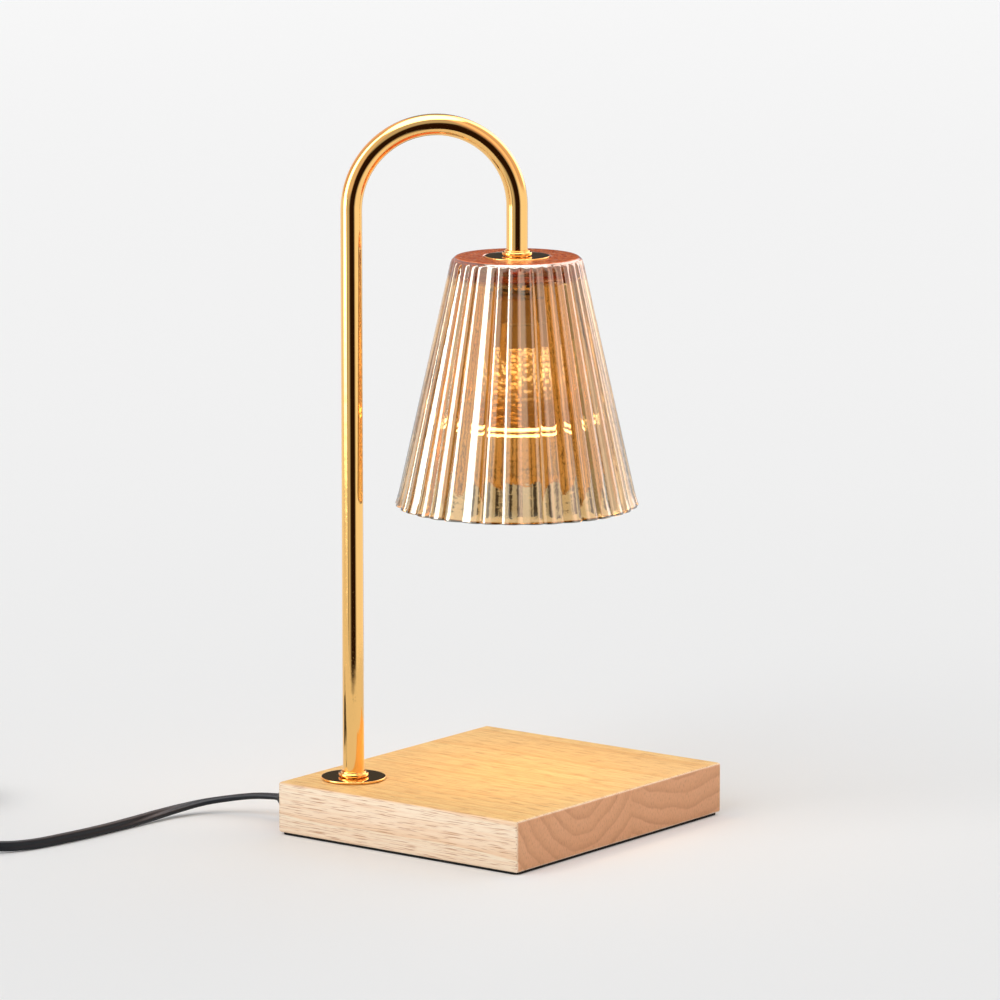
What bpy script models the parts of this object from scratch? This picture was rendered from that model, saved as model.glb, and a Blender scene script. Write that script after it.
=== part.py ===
# A warming lamp: wooden base, bent metal pole, ribbed glass shade, reflector bulb, and a mains cord
# with a hand switch. Metres, +Z up. The origin is the middle of the base's underside, X runs along the wood's grain.

import math

import bmesh
import bpy
from mathutils import Matrix, Vector

for old in list(bpy.data.objects):
    bpy.data.objects.remove(old, do_unlink=True)

# Clearances
FIT_GAP = 0.0003  # between two pieces that seat on or in each other
RUNNING_GAP = 0.0004  # round a piece that turns
CUT_OVERRUN = 0.002  # how far a cutter passes the face that it cuts
MERGE_DISTANCE = 0.000001

# Base: two boards glued edge to edge, on a thin pad
BASE_LENGTH = 0.140
BASE_DEPTH = 0.160
BASE_THICKNESS = 0.024
BASE_EDGE_ROUND = 0.0012
NEAR_STAVE_SHARE = 0.55
PAD_THICKNESS = 0.001
PAD_INSET = 0.001
PAD_CORNER_RADIUS = 0.003
NUT_POCKET_DIAMETER = 0.030
NUT_POCKET_DEPTH = 0.016
CORD_BORE_DIAMETER = 0.009
CORD_BORE_HEIGHT = 0.010  # its axis above the table

# Pole: one tube, straight up, over a half circle and down to the shade
POLE_DIAMETER = 0.010
POLE_WALL = 0.001
POLE_SETBACK = 0.0705  # from the base's middle, along its diagonal
ARCH_RADIUS = 0.039
NECK_ABOVE_SHADE = 0.0232  # straight part between the shade's top and the arch
THREAD_PAST_NUT = 0.001
FLANGE_DIAMETER = 0.0303
FLANGE_THICKNESS = 0.001
FLANGE_CHAMFER = 0.00025
COLLAR_DIAMETER = 0.0139
COLLAR_RING_HEIGHT = 0.0015
COLLAR_LIP_DIAMETER = 0.0118
COLLAR_LIP_HEIGHT = 0.0008
COLLAR_CHAMFER = 0.0004
WASHER_DIAMETER = 0.024
WASHER_THICKNESS = 0.0012
NUT_WIDTH = 0.017  # across its flats
NUT_THICKNESS = 0.004

# Shade: pressed glass with rounded ribs outside, smooth inside, thick at the top
CLEAR_HEIGHT = 0.1276  # from the base's top to the shade's rim
SHADE_HEIGHT = 0.1168
SHADE_RIM_DIAMETER = 0.113
SHADE_TOP_DIAMETER = 0.0606
SHADE_FLARE = 0.0005  # the rim turns out this much
SHADE_FLARE_HEIGHT = 0.008
SHADE_WALL = 0.0023
SHADE_TOP_THICKNESS = 0.0068
SHADE_SHOULDER_ROUND = 0.0018
SHADE_INNER_ROUND = 0.006
CAP_RECESS_DEPTH = 0.002  # the cap disc and its seal lie in this hollow in the glass
RIB_COUNT = 36
RIB_DEPTH_SHARE = 0.13  # of a rib's width
RIB_END_HEIGHT = 0.0035  # the round tops of the ribs
RIB_END_SHARES = (0.45, 0.8, 1.0)  # where that roundness gets a ring of points
SEAL_DIAMETER = 0.024
SEAL_THICKNESS = 0.0007

# Lamp holder: a steel strap under the shade carries a ceramic socket for a twist-in reflector bulb
STRAP_WIDTH = 0.012
STRAP_THICKNESS = 0.001
STRAP_DROP = 0.0102
STRAP_INNER_SPAN = 0.0248
STRAP_FOOT_LENGTH = 0.0065
NECK_NUT_WIDTH = 0.014
NECK_NUT_THICKNESS = 0.0032
HOLDER_DIAMETER = 0.026
HOLDER_HEIGHT = 0.0125
HOLDER_EDGE_ROUND = 0.001
HOLDER_SCREW_SPACING = 0.0178
HOLDER_SCREW_DIAMETER = 0.0028
HOLDER_SCREW_HEAD_DIAMETER = 0.0054
HOLDER_SCREW_HEAD_HEIGHT = 0.0017
HOLDER_SCREW_LENGTH = 0.006
LEAD_HOLE_DIAMETER = 0.0046
LEAD_HOLE_DEPTH = 0.0042
PIN_CIRCLE_DIAMETER = 0.010
PIN_DIAMETER = 0.0026
PIN_HEAD_DIAMETER = 0.0048
PIN_HEAD_HEIGHT = 0.0027
PIN_ROOT = 0.003  # how deep a pin sits in the bulb's base
SOCKET_LIP = 0.0024  # ceramic under the pins' heads
CONTACT_LENGTH = 0.004
CONTACT_WIDTH = 0.0024
CONTACT_THICKNESS = 0.001
BAYONET_TURN = math.radians(45)

# Bulb
BULB_DIAMETER = 0.050
BULB_LENGTH = 0.050
BULB_WALL = 0.0013
BULB_RIM_HEIGHT = 0.0024
BULB_BASE_DIAMETER = 0.020
BULB_BASE_HEIGHT = 0.011
BULB_SPIGOT_DIAMETER = 0.015
BULB_SPIGOT_LENGTH = 0.005
BULB_LENS_THICKNESS = 0.0016
CAPSULE_DIAMETER = 0.009
CAPSULE_LENGTH = 0.018
CAPSULE_STEM_DIAMETER = 0.005
CAPSULE_STEM_LENGTH = 0.003

# Cord: lamp, free run, hand switch, wound length, plug
CORD_DIAMETER = 0.005
LEAD_DIAMETER = 0.003  # inside the pole
LEAD_BEND_START = 0.0135  # from the pole's axis, where the lead turns down under the pole's foot
LEAD_BEND_LOWEST = 0.006
FLOOR_GAP = 0.0001
STRAIGHT_END = 0.003  # a cord runs straight this far where it meets another piece
RELIEF_LENGTH = 0.020
RELIEF_ROOT_DIAMETER = 0.0084
RELIEF_TIP_DIAMETER = 0.0064
RELIEF_SHANK_LENGTH = 0.0075
RELIEF_GROOVES = 4
RELIEF_GROOVE_DEPTH = 0.0006
GROOVE_SHARES = ((-0.2, 0), (-0.1, 1), (0.1, 1), (0.2, 0))  # (along the groove's pitch, of its depth)
COIL_TURNS = 7.25
COIL_MEAN_RADIUS = 0.030
COIL_PITCH = 0.00555  # from one turn to the next, sideways and up
COIL_POINTS_PER_TURN = 24
COIL_CENTRE = (-0.257, -0.142)
TIE_WIDTH = 0.008
TIE_THICKNESS = 0.00075
TIE_SIDE_GAP = 0.0009
TIE_ANGLE = math.radians(135)

# Hand switch with a dimmer wheel, on the floor beside the wound cord
SWITCH_CENTRE = (-0.227, -0.203)
SWITCH_LENGTH = 0.054
SWITCH_WIDTH = 0.028
SWITCH_HEIGHT = 0.018
SWITCH_PARTING = 0.008  # height of the line between its two shells
SWITCH_WALL = 0.0016
SWITCH_CORNER_RADIUS = 0.009
SWITCH_EDGE_ROUND = 0.002
SWITCH_BOSS_DIAMETER = 0.0064
SWITCH_BOSS_SETBACK = 0.0075  # from the shell's end to the boss's axis
SWITCH_SCREW_DIAMETER = 0.0024
SWITCH_SCREW_HEAD_DIAMETER = 0.0046
SWITCH_SCREW_HEAD_HEIGHT = 0.0014
SWITCH_SCREW_BITE = 0.005  # how far a screw reaches into the upper shell
WHEEL_DIAMETER = 0.022
WHEEL_THICKNESS = 0.0046
WHEEL_OFFSET = 0.005  # from the switch's middle line
WHEEL_TEETH = 30
WHEEL_TOOTH_DEPTH = 0.0005
SHAFT_DIAMETER = 0.006
POT_SIDE = 0.012
POT_HEIGHT = 0.002
BOARD_LENGTH = 0.028
BOARD_WIDTH = 0.020
BOARD_THICKNESS = 0.0012
SLEEVE_FLANGE_DIAMETER = 0.0096
SLEEVE_FLANGE_THICKNESS = 0.0016
SLEEVE_NECK_DIAMETER = 0.0068

# Plug, lying on the wound cord
PLUG_LENGTH = 0.034
PLUG_WIDTH = 0.024
PLUG_THICKNESS = 0.0155
PLUG_TAIL_WIDTH = 0.0095
PLUG_TAIL_THICKNESS = 0.0085
PLUG_TAIL_LENGTH = 0.014
PLUG_EDGE_ROUND = 0.002
PLUG_OFFSET = (0.015, -0.030)  # its cord end from the coil's middle
BLADE_LENGTH = 0.017
BLADE_ROOT = 0.004
BLADE_THICKNESS = 0.0015
BLADE_WIDTHS = (0.0064, 0.0079)
BLADE_SPACING = 0.0127
BLADE_HOLE_DIAMETER = 0.003
BLADE_HOLE_SETBACK = 0.0035

# Facets
POLE_SIDES = 20
ARCH_STEPS = 16
ROUND_SIDES = 32
COLLAR_SIDES = 20
SMALL_SIDES = 16
RELIEF_SIDES = 10
REFLECTOR_STEPS = 5
CORD_STEP = 0.011  # from one point of a cord's route to the next
SIDES_PER_RIB = 6

# Places that follow from the sizes
base_top = PAD_THICKNESS + BASE_THICKNESS
rib_end_start = SHADE_HEIGHT - SHADE_SHOULDER_ROUND - RIB_END_HEIGHT
base_diagonal = math.hypot(BASE_LENGTH, BASE_DEPTH)
arm_direction = Vector((BASE_LENGTH, BASE_DEPTH, 0)) / base_diagonal
pole_axis = -POLE_SETBACK * arm_direction
shade_axis = pole_axis + 2 * ARCH_RADIUS * arm_direction
shade_rim = base_top + CLEAR_HEIGHT
shade_top = shade_rim + SHADE_HEIGHT
arch_spring = shade_top + NECK_ABOVE_SHADE
ceiling = shade_top - SHADE_TOP_THICKNESS
pole_hole_radius = POLE_DIAMETER / 2 + FIT_GAP
pocket_ceiling = PAD_THICKNESS + NUT_POCKET_DEPTH
pole_washer_top = pocket_ceiling - FIT_GAP
pole_nut_top = pole_washer_top - WASHER_THICKNESS - FIT_GAP
pole_foot = pole_nut_top - NUT_THICKNESS - THREAD_PAST_NUT
flange_bottom = base_top + FIT_GAP
top_seal_bottom = shade_top - CAP_RECESS_DEPTH + FIT_GAP
cap_disc_bottom = top_seal_bottom + SEAL_THICKNESS + FIT_GAP
under_seal_top = ceiling - FIT_GAP
strap_top = under_seal_top - SEAL_THICKNESS - FIT_GAP
neck_nut_top = strap_top - STRAP_THICKNESS - FIT_GAP
neck_end = neck_nut_top - NECK_NUT_THICKNESS - THREAD_PAST_NUT
strap_foot = strap_top - STRAP_DROP
holder_top = strap_foot - FIT_GAP
holder_face = holder_top - HOLDER_HEIGHT
bulb_top = holder_face - FIT_GAP
bulb_front = bulb_top - BULB_LENGTH
pin_head_bottom = holder_face + SOCKET_LIP + FIT_GAP
pin_head_top = pin_head_bottom + PIN_HEAD_HEIGHT
contact_bottom = pin_head_top + FIT_GAP
channel_top = contact_bottom + CONTACT_THICKNESS + FIT_GAP
relief_start = -BASE_LENGTH / 2
relief_tip = relief_start - RELIEF_LENGTH
cord_exit = Vector((relief_tip - 2 * FIT_GAP, pole_axis.y, CORD_BORE_HEIGHT))
cord_on_floor = FLOOR_GAP + CORD_DIAMETER / 2
switch_sleeve_reach = SWITCH_LENGTH / 2 + RELIEF_LENGTH
board_bottom = SWITCH_WALL + FIT_GAP
pot_bottom = board_bottom + BOARD_THICKNESS + FIT_GAP
wheel_bottom = pot_bottom + POT_HEIGHT + FIT_GAP
switch_screw_seat = SWITCH_SCREW_HEAD_HEIGHT + 2 * FIT_GAP
coil_floor = FLOOR_GAP + TIE_THICKNESS + FIT_GAP + CORD_DIAMETER / 2
coil_reach = COIL_MEAN_RADIUS + COIL_TURNS * COIL_PITCH / 4
coil_hole = COIL_MEAN_RADIUS - COIL_TURNS * COIL_PITCH / 4
plug_axis_height = coil_floor + COIL_PITCH + CORD_DIAMETER / 2 + FIT_GAP + PLUG_THICKNESS / 2
plug_place = Vector((COIL_CENTRE[0] + PLUG_OFFSET[0], COIL_CENTRE[1] + PLUG_OFFSET[1], plug_axis_height))


def material(name, colour, roughness, metallic=0.0):
    made = bpy.data.materials.new(name)
    made.use_nodes = True
    shader = made.node_tree.nodes["Principled BSDF"]
    shader.inputs["Base Color"].default_value = (*colour, 1.0)
    shader.inputs["Roughness"].default_value = roughness
    shader.inputs["Metallic"].default_value = metallic
    made.diffuse_color = (*colour, 1.0)
    return made


wood = material("rubberwood", (0.78, 0.56, 0.36), 0.5)
gold = material("polished_gold_plate", (0.86, 0.58, 0.24), 0.12, 1.0)
amber_glass = material("amber_lustre_glass", (0.85, 0.50, 0.20), 0.05)
foam = material("black_foam_pad", (0.02, 0.02, 0.02), 0.9)
steel = material("zinc_plated_steel", (0.60, 0.61, 0.62), 0.35, 1.0)
seal_rubber = material("clear_silicone", (0.75, 0.72, 0.68), 0.4)
ceramic = material("white_ceramic", (0.85, 0.84, 0.80), 0.35)
brass = material("brass", (0.80, 0.60, 0.25), 0.3, 1.0)
mirror_coat = material("reflector_coating", (0.85, 0.78, 0.62), 0.12, 1.0)
clear_glass = material("clear_glass", (0.90, 0.90, 0.88), 0.03)
lead_skin = material("silicone_lead", (0.75, 0.72, 0.66), 0.5)
cord_skin = material("black_vinyl_cord", (0.02, 0.025, 0.03), 0.45)
black_plastic = material("black_moulded_plastic", (0.025, 0.025, 0.028), 0.4)
board_green = material("circuit_board", (0.05, 0.22, 0.10), 0.5)
strap_fabric = material("hook_and_loop_strap", (0.03, 0.03, 0.03), 0.9)


def place_at(name, location, turn=0.0):
    empty = bpy.data.objects.new(name, None)
    empty.location = location
    empty.rotation_euler = (0, 0, turn)
    bpy.context.scene.collection.objects.link(empty)
    return empty


def add(name, bm, skin, parent=None, sharp_above=math.radians(35)):
    """Turns a finished bmesh into a named object."""
    bmesh.ops.recalc_face_normals(bm, faces=bm.faces)
    mesh = bpy.data.meshes.new(name)
    bm.to_mesh(mesh)
    bm.free()
    mesh.shade_smooth()
    mesh.set_sharp_from_angle(angle=sharp_above)
    obj = bpy.data.objects.new(name, mesh)
    if skin:
        mesh.materials.append(skin)
    obj.parent = parent
    bpy.context.scene.collection.objects.link(obj)
    return obj


def combine(target, tool, operation="DIFFERENCE"):
    """A Boolean with a helper object that is left out of the model."""
    tool.hide_render = True
    tool.display_type = "WIRE"
    tool.parent = target.parent
    step = target.modifiers.new(tool.name, "BOOLEAN")
    step.operation = operation
    step.object = tool


def turned(outline, sides):
    """A closed outline of (radius, height) points, turned once round Z."""
    bm = bmesh.new()
    corners = [bm.verts.new((radius, 0, height)) for radius, height in outline]
    edges = [bm.edges.new((a, b)) for a, b in zip(corners, corners[1:] + corners[:1])]
    bmesh.ops.spin(
        bm, geom=corners + edges, cent=(0, 0, 0), axis=(0, 0, 1), dvec=(0, 0, 0),
        angle=math.tau, steps=sides, use_merge=True,
    )
    bmesh.ops.remove_doubles(bm, verts=bm.verts, dist=MERGE_DISTANCE)
    loose = [edge for edge in bm.edges if not edge.link_faces]
    bmesh.ops.delete(bm, geom=loose, context="EDGES")
    return bm


def ring(outer, inner, low, high):
    """The outline of a flat ring, for turned()."""
    return [(inner, low), (outer, low), (outer, high), (inner, high)]


def chamfered_ring(outer, inner, low, high, chamfer):
    return [
        (inner, low), (outer - chamfer, low), (outer, low + chamfer),
        (outer, high - chamfer), (outer - chamfer, high), (inner, high),
    ]


def disc(radius, low, high):
    """The outline of a solid round plug, for turned()."""
    return [(0, low), (radius, low), (radius, high), (0, high)]


def arc(centre, radius, start, end, steps):
    """Points along an arc, in a plane, both ends included."""
    angles = [start + (end - start) * i / steps for i in range(steps + 1)]
    return [(centre[0] + radius * math.cos(a), centre[1] + radius * math.sin(a)) for a in angles]


def rounded_rectangle(length, width, radius, steps=4):
    x, y = length / 2 - radius, width / 2 - radius
    points = []
    for quarter, (cx, cy) in enumerate([(x, y), (-x, y), (-x, -y), (x, -y)]):
        start = quarter * math.pi / 2
        points += arc((cx, cy), radius, start, start + math.pi / 2, steps)
    return points


def extruded(outline, low, high):
    """A flat outline of (x, y) points, raised from one height to another."""
    bm = bmesh.new()
    face = bm.faces.new([bm.verts.new((x, y, low)) for x, y in outline])
    raised = bmesh.ops.extrude_face_region(bm, geom=[face])
    top = [item for item in raised["geom"] if isinstance(item, bmesh.types.BMVert)]
    bmesh.ops.translate(bm, verts=top, vec=(0, 0, high - low))
    return bm


def block(low, high):
    """A box between two corners."""
    low, high = Vector(low), Vector(high)
    bm = bmesh.new()
    size = high - low
    shape = Matrix.Translation((low + high) / 2) @ Matrix.Diagonal((*size, 1))
    bmesh.ops.create_cube(bm, size=1, matrix=shape)
    return bm


def round_edges(bm, edges, radius, segments=2):
    bmesh.ops.bevel(
        bm, geom=edges, offset=radius, segments=segments, profile=0.5, affect="EDGES", clamp_overlap=True
    )


def flat_edges_at(bm, height):
    return [e for e in bm.edges if all(abs(v.co.z - height) < MERGE_DISTANCE for v in e.verts)]


def smooth_route(points, step):
    """Points about one step apart on a smooth curve through the route's own points."""
    route = [Vector(p) for p in points]
    route = [2 * route[0] - route[1]] + route + [2 * route[-1] - route[-2]]
    found = []
    for before, start, end, after in zip(route, route[1:], route[2:], route[3:]):
        count = max(1, round((end - start).length / step))
        for i in range(count):
            t = i / count
            pull = -before + end + t * (2 * before - 5 * start + 4 * end - after)
            pull += t * t * (3 * start - before - 3 * end + after)
            found.append(start + pull * t / 2)
    return found + [route[-2]]


def cable(name, points, diameter, skin, bevel_resolution=2):
    """A round cable along a list of points, with closed ends."""
    curve = bpy.data.curves.new(name, "CURVE")
    curve.dimensions = "3D"
    curve.bevel_depth = diameter / 2
    curve.bevel_resolution = bevel_resolution
    curve.use_fill_caps = True
    spline = curve.splines.new("POLY")
    spline.points.add(len(points) - 1)
    for spot, point in zip(spline.points, points):
        spot.co = (*point, 1)
    curve.materials.append(skin)
    obj = bpy.data.objects.new(name, curve)
    bpy.context.scene.collection.objects.link(obj)
    return obj


def hexagon(width):
    corner = width / math.sqrt(3)
    return arc((0, 0), corner, 0, math.tau * 5 / 6, 5)


def hex_nut(name, width, low, high, bore_radius, parent):
    nut = add(name, extruded(hexagon(width), low, high), steel, parent)
    bore = turned(disc(bore_radius, low - CUT_OVERRUN, high + CUT_OVERRUN), POLE_SIDES)
    combine(nut, add(name + "_bore", bore, None))


def make_base():
    """The block is rounded as one piece, then parted along the glue line."""
    glue_line = BASE_DEPTH * (NEAR_STAVE_SHARE - 0.5)
    half_length, half_depth = BASE_LENGTH / 2, BASE_DEPTH / 2
    for name, keep_near in (("base_stave_near", True), ("base_stave_far", False)):
        bm = block((-half_length, -half_depth, PAD_THICKNESS), (half_length, half_depth, base_top))
        round_edges(bm, bm.edges[:], BASE_EDGE_ROUND)
        cut = bmesh.ops.bisect_plane(
            bm, geom=bm.verts[:] + bm.edges[:] + bm.faces[:], plane_co=(0, glue_line, 0),
            plane_no=(0, 1, 0), clear_outer=keep_near, clear_inner=not keep_near,
        )
        rim = [item for item in cut["geom_cut"] if isinstance(item, bmesh.types.BMEdge)]
        bmesh.ops.holes_fill(bm, edges=rim)
        stave = add(name, bm, wood)
        if keep_near:
            bore_base(stave)
    outline = rounded_rectangle(BASE_LENGTH - 2 * PAD_INSET, BASE_DEPTH - 2 * PAD_INSET, PAD_CORNER_RADIUS)
    add("base_pad", extruded(outline, 0, PAD_THICKNESS), foam)


def bore_base(stave):
    """The pole's hole, the nut's pocket under it, and the cord's bore from the side."""
    x, y = pole_axis.x, pole_axis.y
    hole = add("pole_hole", turned(disc(pole_hole_radius, 0, base_top + CUT_OVERRUN), POLE_SIDES), None)
    pocket = turned(disc(NUT_POCKET_DIAMETER / 2, -CUT_OVERRUN, pocket_ceiling), ROUND_SIDES)
    pocket = add("nut_pocket", pocket, None)
    bore_length = BASE_LENGTH / 2 + x + CUT_OVERRUN
    bore = add("cord_bore", turned(disc(CORD_BORE_DIAMETER / 2, 0, bore_length), SMALL_SIDES), None)
    bore.rotation_euler = (0, -math.pi / 2, 0)
    for tool, height in ((hole, 0), (pocket, 0), (bore, CORD_BORE_HEIGHT)):
        tool.location = (x, y, height)
        combine(stave, tool)


def make_pole():
    """A flat ring is drawn up, spun over the arch and drawn down into the shade."""
    bm = bmesh.new()
    for radius in (POLE_DIAMETER / 2, POLE_DIAMETER / 2 - POLE_WALL):
        bmesh.ops.create_circle(bm, segments=POLE_SIDES, radius=radius)
    bmesh.ops.bridge_loops(bm, edges=bm.edges[:])
    bmesh.ops.translate(bm, verts=bm.verts[:], vec=(0, 0, pole_foot))
    spring = drawn(bm, bm.faces[:], (0, 0, arch_spring - pole_foot))
    bend = bmesh.ops.spin(
        bm, geom=spring, cent=(ARCH_RADIUS, 0, arch_spring), axis=(0, 1, 0), dvec=(0, 0, 0),
        angle=math.pi, steps=ARCH_STEPS,
    )
    neck = [item for item in bend["geom_last"] if isinstance(item, bmesh.types.BMFace)]
    drawn(bm, neck, (0, 0, neck_end - arch_spring))
    bmesh.ops.delete(bm, geom=spring + neck, context="FACES_ONLY")
    pole = add("pole_tube", bm, gold)
    pole.location = pole_axis
    pole.rotation_euler = (0, 0, math.atan2(arm_direction.y, arm_direction.x))


def drawn(bm, faces, vector):
    """Extrudes some faces along a vector and gives back the faces at the new end."""
    moved = bmesh.ops.extrude_face_region(bm, geom=faces)["geom"]
    bmesh.ops.translate(bm, verts=[v for v in moved if isinstance(v, bmesh.types.BMVert)], vec=vector)
    return [f for f in moved if isinstance(f, bmesh.types.BMFace)]


def make_pole_fittings():
    foot = place_at("pole_foot_place", (pole_axis.x, pole_axis.y, 0))
    top = flange_bottom + FLANGE_THICKNESS
    outline = chamfered_ring(FLANGE_DIAMETER / 2, pole_hole_radius, flange_bottom, top, FLANGE_CHAMFER)
    add("base_flange", turned(outline, ROUND_SIDES), gold, foot)
    add("base_collar", turned(stepped_collar(top + FIT_GAP), COLLAR_SIDES), gold, foot)
    washer_bottom = pole_washer_top - WASHER_THICKNESS
    washer = ring(WASHER_DIAMETER / 2, pole_hole_radius, washer_bottom, pole_washer_top)
    add("pole_washer", turned(washer, COLLAR_SIDES), steel, foot)
    hex_nut("pole_nut", NUT_WIDTH, pole_nut_top - NUT_THICKNESS, pole_nut_top, pole_hole_radius, foot)


def stepped_collar(low):
    """A low ring with a narrower lip on it, close round the tube."""
    wide, narrow, edge = COLLAR_DIAMETER / 2, COLLAR_LIP_DIAMETER / 2, COLLAR_CHAMFER
    middle = low + COLLAR_RING_HEIGHT
    high = middle + COLLAR_LIP_HEIGHT
    return [
        (pole_hole_radius, low), (wide - edge, low), (wide, low + edge), (wide, middle - edge),
        (wide - edge, middle), (narrow, middle), (narrow, high - edge / 2), (narrow - edge / 2, high),
        (pole_hole_radius, high),
    ]


def rib_bulge(angle, height):
    """How much of a rib's depth stands out at this angle round the shade and height above its rim."""
    across = (angle / math.tau * RIB_COUNT) % 1
    bulge = 1 - (2 * across - 1) ** 2
    past_start = max(0.0, height - rib_end_start) / RIB_END_HEIGHT
    return max(0.0, bulge - past_start**2)


def shade_crest(height):
    """The radius of the shade over its ribs, at a height above its rim."""
    rim, top = SHADE_RIM_DIAMETER / 2, SHADE_TOP_DIAMETER / 2
    flare = SHADE_FLARE * max(0.0, 1 - height / SHADE_FLARE_HEIGHT) ** 2
    return rim + (top - rim) * height / SHADE_HEIGHT + flare


def shade_radius(angle, height):
    crest = shade_crest(height)
    depth = RIB_DEPTH_SHARE * crest * math.tau / RIB_COUNT
    over_shoulder = max(0.0, height - (SHADE_HEIGHT - SHADE_SHOULDER_ROUND)) / SHADE_SHOULDER_ROUND
    rounding = SHADE_SHOULDER_ROUND * (1 - math.sqrt(max(0.0, 1 - over_shoulder**2)))
    return crest - depth * (1 - rib_bulge(angle, height)) - rounding


def shade_levels():
    """Heights above the rim where the outer wall changes: flare, ribs, round rib ends and shoulder."""
    shoulder = SHADE_HEIGHT - SHADE_SHOULDER_ROUND
    levels = [0, SHADE_FLARE_HEIGHT / 2, SHADE_FLARE_HEIGHT, rib_end_start]
    levels += [rib_end_start + RIB_END_HEIGHT * share for share in RIB_END_SHARES]
    return levels + [shoulder + SHADE_SHOULDER_ROUND * math.sin(a) for a in (math.pi / 5, math.pi / 2)]


def make_shade():
    """The ribbed outside is drawn up ring by ring, then hollowed and bored for the neck."""
    hang = place_at("shade_place", (shade_axis.x, shade_axis.y, shade_rim))
    bm = bmesh.new()
    sides = RIB_COUNT * SIDES_PER_RIB
    bmesh.ops.create_circle(bm, cap_ends=True, segments=sides, radius=SHADE_RIM_DIAMETER / 2)
    rim_edges = bm.edges[:]
    corners = bm.verts[:]
    for number, height in enumerate(shade_levels()):
        if number:
            raised = bmesh.ops.extrude_edge_only(bm, edges=rim_edges)["geom"]
            rim_edges = [e for e in raised if isinstance(e, bmesh.types.BMEdge)]
            corners = [v for v in raised if isinstance(v, bmesh.types.BMVert)]
        for corner in corners:
            angle = math.atan2(corner.co.y, corner.co.x) % math.tau
            radius = shade_radius(angle, height)
            corner.co = (radius * math.cos(angle), radius * math.sin(angle), height)
    bmesh.ops.contextual_create(bm, geom=rim_edges)
    shade = add("glass_shade", bm, amber_glass, hang)
    wall = SHADE_WALL / math.cos(math.atan2(SHADE_RIM_DIAMETER - SHADE_TOP_DIAMETER, 2 * SHADE_HEIGHT))
    inner_top = SHADE_HEIGHT - SHADE_TOP_THICKNESS
    rim_inside = shade_valley(0) - wall
    bend_start = inner_top - SHADE_INNER_ROUND
    top_inside = shade_valley(bend_start) - wall
    hollow_outline = [
        (0, -CUT_OVERRUN),
        (rim_inside, -CUT_OVERRUN),
        (rim_inside, 0),
        (shade_valley(SHADE_FLARE_HEIGHT) - wall, SHADE_FLARE_HEIGHT),
    ]
    bend_centre = (top_inside - SHADE_INNER_ROUND, bend_start)
    hollow_outline += arc(bend_centre, SHADE_INNER_ROUND, 0, math.pi / 2, 4)
    hollow_outline += [(0, inner_top)]
    combine(shade, add("shade_hollow", turned(hollow_outline, 2 * RIB_COUNT), None))
    recess, recess_floor = FLANGE_DIAMETER / 2 + 2 * FIT_GAP, SHADE_HEIGHT - CAP_RECESS_DEPTH
    bore = [
        (0, inner_top - CUT_OVERRUN), (pole_hole_radius, inner_top - CUT_OVERRUN),
        (pole_hole_radius, recess_floor), (recess, recess_floor),
        (recess, SHADE_HEIGHT + CUT_OVERRUN), (0, SHADE_HEIGHT + CUT_OVERRUN),
    ]
    combine(shade, add("neck_bore", turned(bore, ROUND_SIDES), None))


def shade_valley(height):
    """The radius of the shade between two ribs."""
    return shade_radius(0, height)


def make_shade_fittings():
    """What clamps the glass: disc, collar and seal above it, seal, strap and nut below."""
    neck = place_at("neck_place", (shade_axis.x, shade_axis.y, 0))
    top = cap_disc_bottom + FLANGE_THICKNESS
    outline = chamfered_ring(FLANGE_DIAMETER / 2, pole_hole_radius, cap_disc_bottom, top, FLANGE_CHAMFER)
    add("cap_disc", turned(outline, ROUND_SIDES), gold, neck)
    add("cap_collar", turned(stepped_collar(top + FIT_GAP), COLLAR_SIDES), gold, neck)
    under_seal_bottom = under_seal_top - SEAL_THICKNESS
    for name, low in (("shade_seal_top", top_seal_bottom), ("shade_seal_under", under_seal_bottom)):
        outline = ring(SEAL_DIAMETER / 2, pole_hole_radius, low, low + SEAL_THICKNESS)
        add(name, turned(outline, COLLAR_SIDES), seal_rubber, neck)
    nut_bottom = neck_nut_top - NECK_NUT_THICKNESS
    hex_nut("neck_nut", NECK_NUT_WIDTH, nut_bottom, neck_nut_top, pole_hole_radius, neck)
    make_strap(neck)


def make_strap(neck):
    """A steel strap bent down on both sides, with feet turned in over the socket."""
    outside, inside = STRAP_INNER_SPAN / 2 + STRAP_THICKNESS, STRAP_INNER_SPAN / 2
    toe, low, high = inside - STRAP_FOOT_LENGTH, strap_foot, strap_top
    profile = [
        (toe, low), (outside, low), (outside, high), (-outside, high), (-outside, low), (-toe, low),
        (-toe, low + STRAP_THICKNESS), (-inside, low + STRAP_THICKNESS), (-inside, high - STRAP_THICKNESS),
        (inside, high - STRAP_THICKNESS), (inside, low + STRAP_THICKNESS), (toe, low + STRAP_THICKNESS),
    ]
    bm = extruded(profile, -STRAP_WIDTH / 2, STRAP_WIDTH / 2)
    upright = Matrix.Rotation(math.pi / 2, 3, "X")
    bmesh.ops.rotate(bm, verts=bm.verts[:], cent=(0, 0, 0), matrix=upright)
    strap = add("holder_strap", bm, steel, neck)
    hole = disc(pole_hole_radius, high - STRAP_THICKNESS - CUT_OVERRUN, high + CUT_OVERRUN)
    combine(strap, add("strap_neck_hole", turned(hole, POLE_SIDES), None))
    for side in (-1, 1):
        radius = HOLDER_SCREW_DIAMETER / 2 + FIT_GAP
        hole = disc(radius, low - CUT_OVERRUN / 2, low + STRAP_THICKNESS + CUT_OVERRUN / 2)
        tool = add("strap_screw_hole", turned(hole, SMALL_SIDES), None)
        tool.location.x = side * HOLDER_SCREW_SPACING / 2
        combine(strap, tool)


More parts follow.
